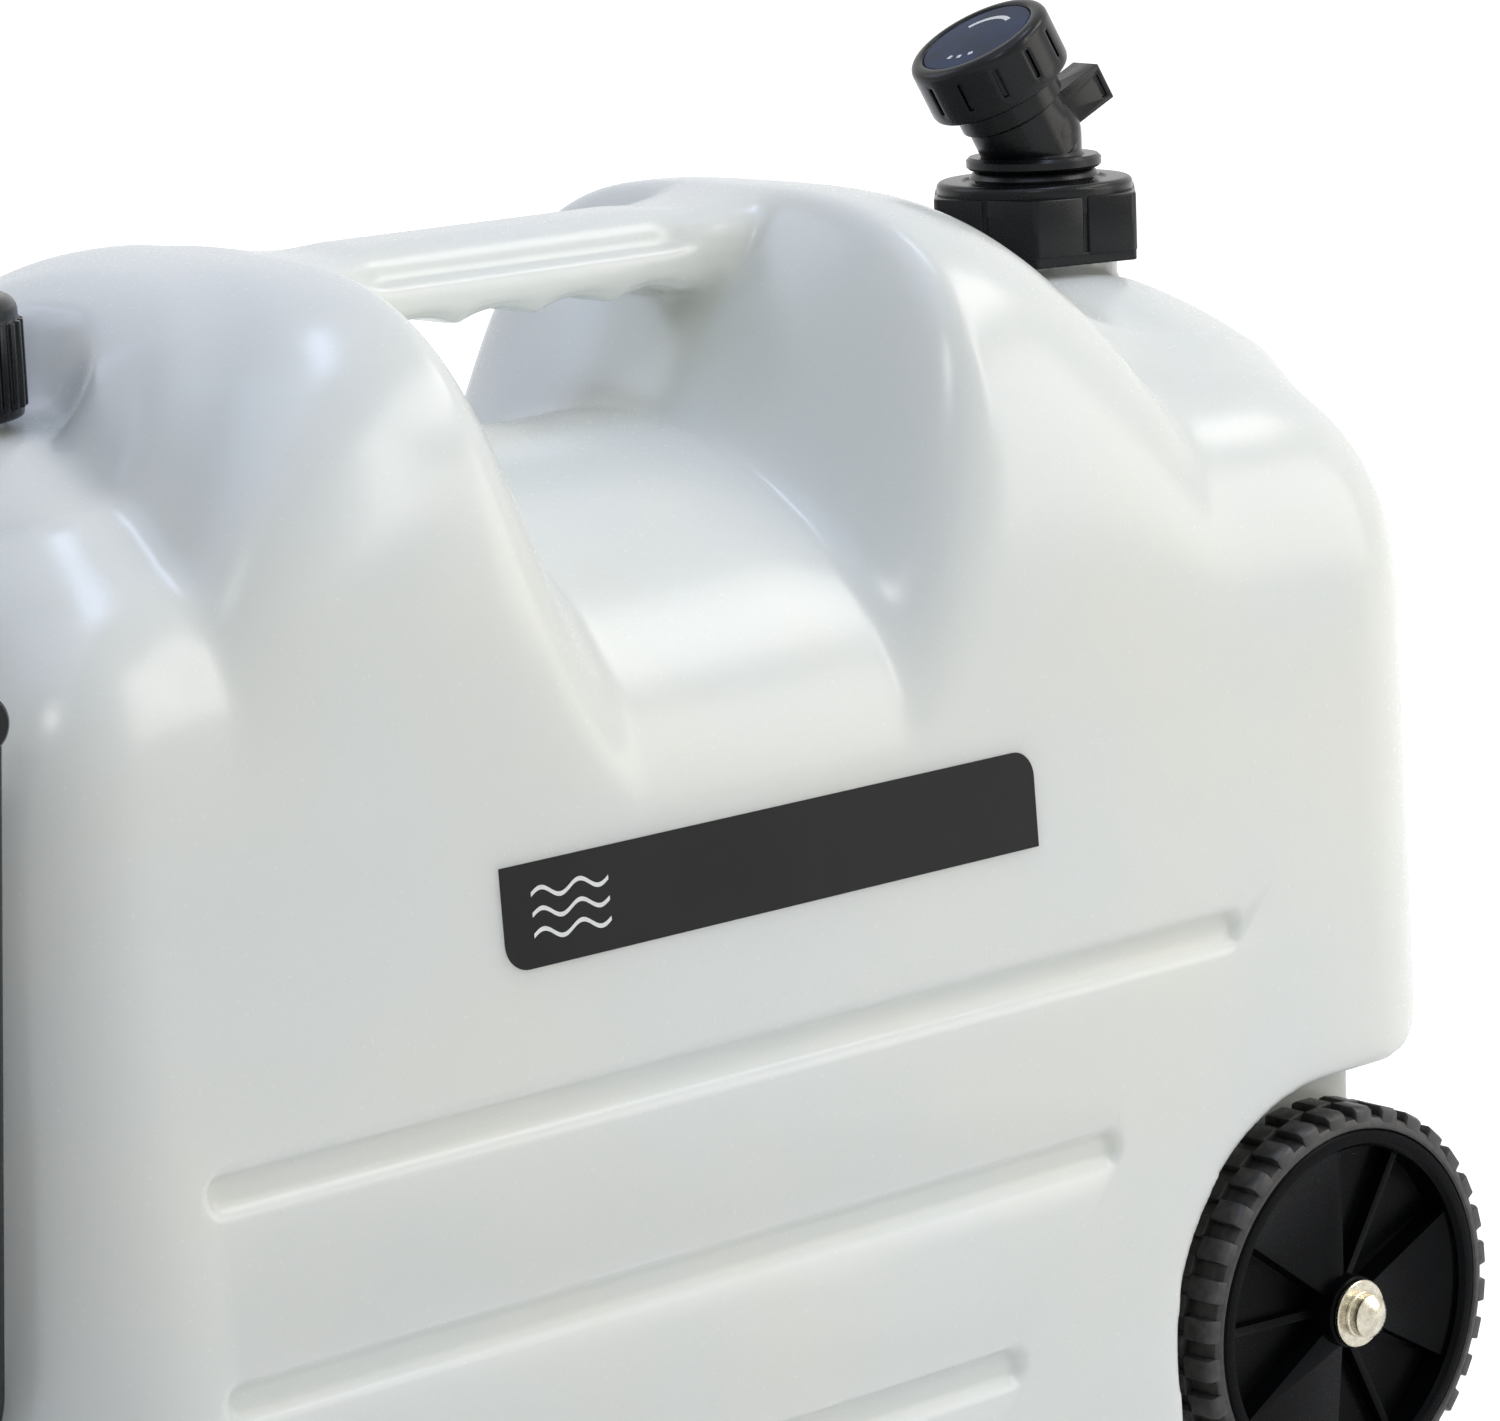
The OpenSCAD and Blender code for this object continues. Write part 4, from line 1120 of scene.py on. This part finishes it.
class CARRIER_OT_tap_collar(bpy.types.Operator):
    """Build the six sided collar that holds the tap"""
    bl_idname = "carrier.tap_collar"
    bl_label = "Tap collar"

    def execute(self, context):
        f = settings()[1]
        low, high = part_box("tap_collar")
        z0, z1 = low[2] / MM, high[2] / MM
        flats = 56
        nut = prism("tap_nut_collar", collar_outline(flats), z1 - 3.4 - z0 - 2.6)
        place(nut, Matrix.Translation((0, 0, (z0 + 2.6) * MM)))
        soften(nut, 0.5, 2, 25)
        foot = prism("foot", [p for p in collar_outline(flats - 0.5)
                              if math.hypot(*p) > flats / 2 + 1], 3.4)
        place(foot, Matrix.Translation((0, 0, z0 * MM)))
        soften(foot, 0.8, 3, 25)
        r = flats / 2
        shoulder = turned("shoulder", [(r - 4, z1 - 8), (r - 0.6, z1 - 8), (r - 0.6, z1 - 2.2),
                                       *arc(r - 2.4, z1 - 1.8, 1.8, 0, 90, 6), (20.5, z1), (19.9, z1 - 0.6),
                                       (16.6, z1 - 0.6), (16.6, z1 - 8)], 96)
        combine(nut, [foot, shoulder], "UNION")
        bore = turned("bore", [(24.4, z0 - 5), (24.4, z1 - 4), (16.6, z1 - 4), (16.6, z1 + 5)], 64)
        combine(nut, [bore], "DIFFERENCE")
        place(nut, Matrix.Translation((f.neck_x, 0, 0)))
        shade(nut, 30)
        finish(nut, "tap_nut", "black_plastic", black_plastic(), "tap_collar")
        return {"FINISHED"}


BARREL_TILT = 28.5
TAP_YAW = -10
BARREL_R = 13.8
BARREL_TOP = 20.3
TUBE_R = 13.6
RING_R = 18.9
NOZZLE = (27.4, 12, 11)
NOZZLE_UP = 6
KNOB_R = 20.6
KNOB_H = 17
KNOB_START = 20.9


def barrel_frame():
    """The tilted barrel's frame, Z along its axis."""
    f = settings()[1]
    low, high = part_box("tap_collar")
    return (Matrix.Translation((f.neck_x, 0, high[2] + 7.5 * MM))
            @ Matrix.Rotation(math.radians(TAP_YAW), 4, "Z") @ Matrix.Rotation(-math.radians(BARREL_TILT), 4, "Y"))


class CARRIER_OT_tap_body(bpy.types.Operator):
    """Build the tap's stem, ring, tube, barrel and nozzle"""
    bl_idname = "carrier.tap_body"
    bl_label = "Tap body"

    def execute(self, context):
        f = settings()[1]
        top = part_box("tap_collar")[1][2] / MM
        stem = [(9, top - 8), (16.3, top - 8), (16.3, top + 0.5), (RING_R - 0.7, top + 0.6), (RING_R - 1.6, top + 2),
                (16.6, top + 2.9), (RING_R - 0.8, top + 3), (RING_R, top + 3.7), (RING_R, top + 5.6),
                (RING_R - 0.9, top + 6.5), (TUBE_R + 0.9, top + 6.5), (TUBE_R, top + 7.4), (TUBE_R, top + 12),
                *arc(0, top + 12, TUBE_R, 0, 90, 12)[1:-1], (0, top + 12 + TUBE_R)]
        tap = turned("tap_moulding", stem, 96)
        place(tap, Matrix.Translation((f.neck_x, 0, 0)))
        tilted = barrel_frame()
        barrel = turned("barrel", [(3, -4), (BARREL_R - 2, -4), (BARREL_R, -1), (BARREL_R, 13.4), (BARREL_R + 1.4, 14.4),
                                   (BARREL_R + 1.4, BARREL_TOP - 0.7), (BARREL_R + 0.7, BARREL_TOP),
                                   (4.6, BARREL_TOP)], 96)
        place(barrel, tilted)
        reach, wide, tall = NOZZLE
        spout = start("spout", bpy.ops.mesh.primitive_cube_add, size=1)
        place(spout, Matrix.Translation((reach / 2 * MM, 0, NOZZLE_UP * MM))
              @ Matrix.Diagonal((reach * MM, wide * MM, tall * MM, 1)))
        slots = [start("slot", bpy.ops.mesh.primitive_cube_add, size=1,
                       location=((reach - 2.6) * MM, side * wide / 2 * MM, (NOZZLE_UP - 0.3) * MM),
                       scale=(1.8 * MM, 1.4 * MM, 6.6 * MM)) for side in (-1, 1)]
        bore = turned("bore", [(4.2, reach - 16), (4.2, reach - 0.7), (4.8, reach + 0.1), (4.8, reach + 1)], 48)
        place(bore, Matrix.Translation((0, 0, NOZZLE_UP * MM)) @ Matrix.Rotation(math.pi / 2, 4, "Y"))
        combine(spout, [*slots, bore], "DIFFERENCE")
        soften(spout, 0.55, 2, 40)
        place(spout, tilted)
        combine(tap, [barrel, spout], "UNION")
        shade(tap, 32)
        finish(tap, "tap", "black_plastic", black_plastic(), "tap_body")
        return {"FINISHED"}


TURN_SCALE = (
    # inner and outer radius, first and last angle of each printed mark
    (9.2, 10.8, -25, 65), (9.6, 11.2, 178, 186), (9.6, 11.2, 198, 206), (9.6, 11.2, 218, 226),
)


def printed_arc(inner, outer, first, last, z):
    """One printed mark round the knob's face, in the barrel's own millimetres."""
    rows = [[(r * math.cos(a) * MM, r * math.sin(a) * MM, z * MM) for r in (outer, inner)]
            for a in np.radians(np.linspace(first, last, 24))]
    return loft("mark", rows, around=False)


class CARRIER_OT_tap_knob(bpy.types.Operator):
    """Build the slotted valve knob and its glossy face"""
    bl_idname = "carrier.tap_knob"
    bl_label = "Tap knob"

    def execute(self, context):
        f = settings()[1]
        z0, z1 = KNOB_START, KNOB_START + KNOB_H
        r = KNOB_R
        profile = [(4.2, z0), (r - 1.4, z0), (r - 0.3, z0 + 0.7), (r, z0 + 1.6), (r, z0 + KNOB_H / 4), (r, z0 + KNOB_H * 3 / 4),
                   (r, z1 - 3.2), *arc(r - 2.6, z1 - 2.6, 2.6, 0, 90, 6), (r - 3.6, z1), (r - 4.2, z1 - 0.6),
                   (r - 4.2, z1 - 1.8), (3, z1 - 1.8)]
        knob = turned("valve_knob_cap", profile, 8 * f.knob_slots)
        with editing(knob):
            pick_faces(knob, lambda c, n: abs(n.z) < 0.05 and math.hypot(c.x, c.y) > (r - 0.3) * MM
                       and z0 + KNOB_H / 4 < c.z / MM < z0 + KNOB_H * 3 / 4
                       and round(math.atan2(c.y, c.x) / math.pi * 4 * f.knob_slots - 0.5) % 8 == 0)
            bpy.ops.mesh.extrude_region_shrink_fatten(
                TRANSFORM_OT_shrink_fatten={"value": -1.3 * MM, "use_even_offset": False})
        soften(knob, 0.3, 2, 40)
        place(knob, barrel_frame())
        shade(knob, 32)
        finish(knob, "tap_knob", "black_plastic", black_plastic(), "valve_knob")
        face_r = r - 4.25
        disc = turned("valve_knob_face", [(0, z1 - 1.7), (face_r, z1 - 1.7), (face_r, z1 - 0.75),
                                          (face_r - 0.4, z1 - 0.45), (face_r * 0.6, z1 - 0.35), (0, z1 - 0.3)], 96)
        place(disc, barrel_frame())
        shade(disc, 32)
        finish(disc, "tap_knob", "knob_face", knob_gloss(), "knob_disc")
        marks = [printed_arc(*mark, z1 - 0.3) for mark in TURN_SCALE]
        scale_print = join(*marks)
        scale_print.name = "knob_turn_scale"
        place(scale_print, barrel_frame())
        finish(scale_print, "tap_knob", "knob_face", print_ink())
        return {"FINISHED"}


HIDDEN_FINISH = {
    "axle_rod": zinc_steel, "inner_washers": zinc_steel, "pivot_pins": zinc_steel, "pin_clips": zinc_steel,
    "knob_screw": zinc_steel, "axle_bushes": acetal, "swivel_washer": acetal, "valve_plug": acetal,
    "fill_gasket": seal_rubber, "tap_gasket": seal_rubber, "swivel_seal": seal_rubber,
    "valve_seal": seal_rubber, "barrel_nut": black_plastic,
}


class CARRIER_OT_inner_pieces(bpy.types.Operator):
    """Give the pieces inside the carrier their finishes"""
    bl_idname = "carrier.inner_pieces"
    bl_label = "Inner pieces"

    def execute(self, context):
        for node, finish_of in HIDDEN_FINISH.items():
            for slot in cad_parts[node].material_slots:
                slot.material = finish_of()
        return {"FINISHED"}


FLOOR_SPAN = 30.0
SOFT_LIGHTS = (
    # name, place, aimed at, width and height, watts, hex colour
    ("key", (0.925, -1.741, 1.435), (0, 0, 0.25), (0.22, 1.1), 7.5, "#FFFBF2"),
    ("side", (1.364, -0.853, 1.75), (0, 0, 0.25), (1.3, 0.55), 10.5, "#FFFDF8"),
    ("overhead", (0.465, -0.08, 2.35), (0, 0, 0.3), (0.8, 0.25), 6.0, "#CCDBFF"),
    ("sky", (-0.55, -0.5, 2.42), (0, 0, 0.3), (1.5, 1.5), 9.5, "#BBD0FF"),
    ("back", (-0.9, 1.56, 1.5), (0, 0, 0.3), (1.2, 1.2), 8.0, "#DCE6FF"),
    ("low_side", (1.16, -1.04, 0.61), (0, 0, 0.2), (0.8, 0.8), 5.4, "#FFFAF0"),
    ("window", (-1.09, -1.35, 1.76), (0, 0, 0.25), (0.3, 0.3), 4.0, "#FFFFFF"),
)
AMBIENT_LOW = 0.1
AMBIENT_HIGH = 0.34
# the floor turns to plain white between these distances from the carrier, and shows its shadow nearer
FLOOR_FADE = (0.5, 2.2)
FLOOR_GLOW = (0.55, 0.98)


def seen_white(tree):
    """1 for what the camera, a mirror or clear plastic sees, 0 for light that falls on the object."""
    path = add(tree, "ShaderNodeLightPath")
    first = add(tree, "ShaderNodeMath", {0: path.outputs["Is Camera Ray"], 1: path.outputs["Is Glossy Ray"]},
                operation="MAXIMUM")
    return add(tree, "ShaderNodeMath", {0: first.outputs[0], 1: path.outputs["Is Transmission Ray"]},
               operation="MAXIMUM").outputs[0]


class CARRIER_OT_stage(bpy.types.Operator):
    """Set up the pale floor, the soft lights and the camera"""
    bl_idname = "carrier.stage"
    bl_label = "Stage"

    def execute(self, context):
        scene = context.scene
        scene.view_settings.view_transform = "Standard"
        world = bpy.data.worlds.new("studio")
        scene.world = world
        world.use_nodes = True
        tree = world.node_tree
        tree.nodes.clear()
        ray = add(tree, "ShaderNodeSeparateXYZ", {0: add(tree, "ShaderNodeTexCoord").outputs["Generated"]})
        dim = add(tree, "ShaderNodeMapRange", {"Value": ray.outputs["Z"], "From Min": -0.2, "From Max": 0.9,
                                               "To Min": AMBIENT_LOW, "To Max": AMBIENT_HIGH})
        level = add(tree, "ShaderNodeMapRange", {"Value": seen_white(tree), "To Min": dim.outputs[0], "To Max": 1.0})
        ground = add(tree, "ShaderNodeBackground", {"Color": (1, 1, 1, 1), "Strength": level.outputs[0]})
        add(tree, "ShaderNodeOutputWorld", {"Surface": ground.outputs[0]})
        floor = start("floor", bpy.ops.mesh.primitive_plane_add, size=FLOOR_SPAN)
        paper = bpy.data.materials.new("pale_paper_floor")
        paper.use_nodes = True
        tree = paper.node_tree
        tree.nodes.clear()
        matt = add(tree, "ShaderNodeBsdfDiffuse", {"Color": (0.86, 0.86, 0.86, 1)})
        away = add(tree, "ShaderNodeVectorMath", {0: add(tree, "ShaderNodeTexCoord").outputs["Object"]},
                   operation="LENGTH")
        fade = add(tree, "ShaderNodeMapRange", {"Value": away.outputs["Value"], "From Min": FLOOR_FADE[0],
                                                "From Max": FLOOR_FADE[1], "To Min": FLOOR_GLOW[0],
                                                "To Max": FLOOR_GLOW[1]})
        glow_level = add(tree, "ShaderNodeMath", {0: seen_white(tree), 1: fade.outputs[0]}, operation="MULTIPLY")
        glow = add(tree, "ShaderNodeEmission", {"Strength": glow_level.outputs[0]})
        both = add(tree, "ShaderNodeAddShader", {0: matt.outputs[0], 1: glow.outputs[0]})
        add(tree, "ShaderNodeOutputMaterial", {"Surface": both.outputs[0]})
        floor.data.materials.append(paper)
        for name, spot, aim, size, watts, hue in SOFT_LIGHTS:
            bpy.ops.object.light_add(type="AREA", location=spot)
            light = bpy.context.active_object
            light.name = name
            light.rotation_euler = (Vector(aim) - Vector(spot)).to_track_quat("-Z", "Y").to_euler()
            light.data.shape = "RECTANGLE"
            light.data.size, light.data.size_y = size
            light.data.energy = watts
            light.data.color = linear(hue)
        forward = Vector(CAMERA_FORWARD).normalized()
        right = Vector(CAMERA_RIGHT)
        right = (right - forward * right.dot(forward)).normalized()
        up = right.cross(forward)
        bpy.ops.object.camera_add()
        camera = bpy.context.active_object
        camera.matrix_world = Matrix.Translation(CAMERA_PLACE) @ Matrix((right, up, -forward)).transposed().to_4x4()
        camera.data.sensor_fit = "HORIZONTAL"
        camera.data.sensor_width = CAMERA_SENSOR
        camera.data.lens = CAMERA_LENS
        camera.data.clip_end = 100
        scene.camera = camera
        return {"FINISHED"}


STEPS = (CARRIER_OT_tank, CARRIER_OT_label, CARRIER_OT_wheels, CARRIER_OT_axle_ends, CARRIER_OT_tow_mounts,
         CARRIER_OT_tow_handle, CARRIER_OT_filler_cap, CARRIER_OT_tap_collar, CARRIER_OT_tap_body,
         CARRIER_OT_tap_knob, CARRIER_OT_inner_pieces, CARRIER_OT_stage)


class CARRIER_PT_panel(bpy.types.Panel):
    """Lists the carrier's pieces"""
    bl_label = "Water carrier"
    bl_idname = "CARRIER_PT_panel"
    bl_space_type = "VIEW_3D"
    bl_region_type = "UI"
    bl_category = "Carrier"

    def draw(self, context):
        for step in STEPS:
            self.layout.operator(step.bl_idname)


GROUPS = {"carrier_tank": CarrierTank, "carrier_fittings": CarrierFittings, "carrier_colours": CarrierColours}


def register():
    for group in GROUPS.values():
        bpy.utils.register_class(group)
    for name, group in GROUPS.items():
        setattr(bpy.types.Scene, name, PointerProperty(type=group))
    for item in (*STEPS, CARRIER_PT_panel):
        bpy.utils.register_class(item)


def unregister():
    for item in (CARRIER_PT_panel, *STEPS[::-1]):
        bpy.utils.unregister_class(item)
    for name in GROUPS:
        delattr(bpy.types.Scene, name)
    for group in GROUPS.values():
        bpy.utils.unregister_class(group)


def main():
    register()
    for step in STEPS:
        family, action = step.bl_idname.split(".")
        getattr(getattr(bpy.ops, family), action)()


if __name__ == "__main__":
    main()
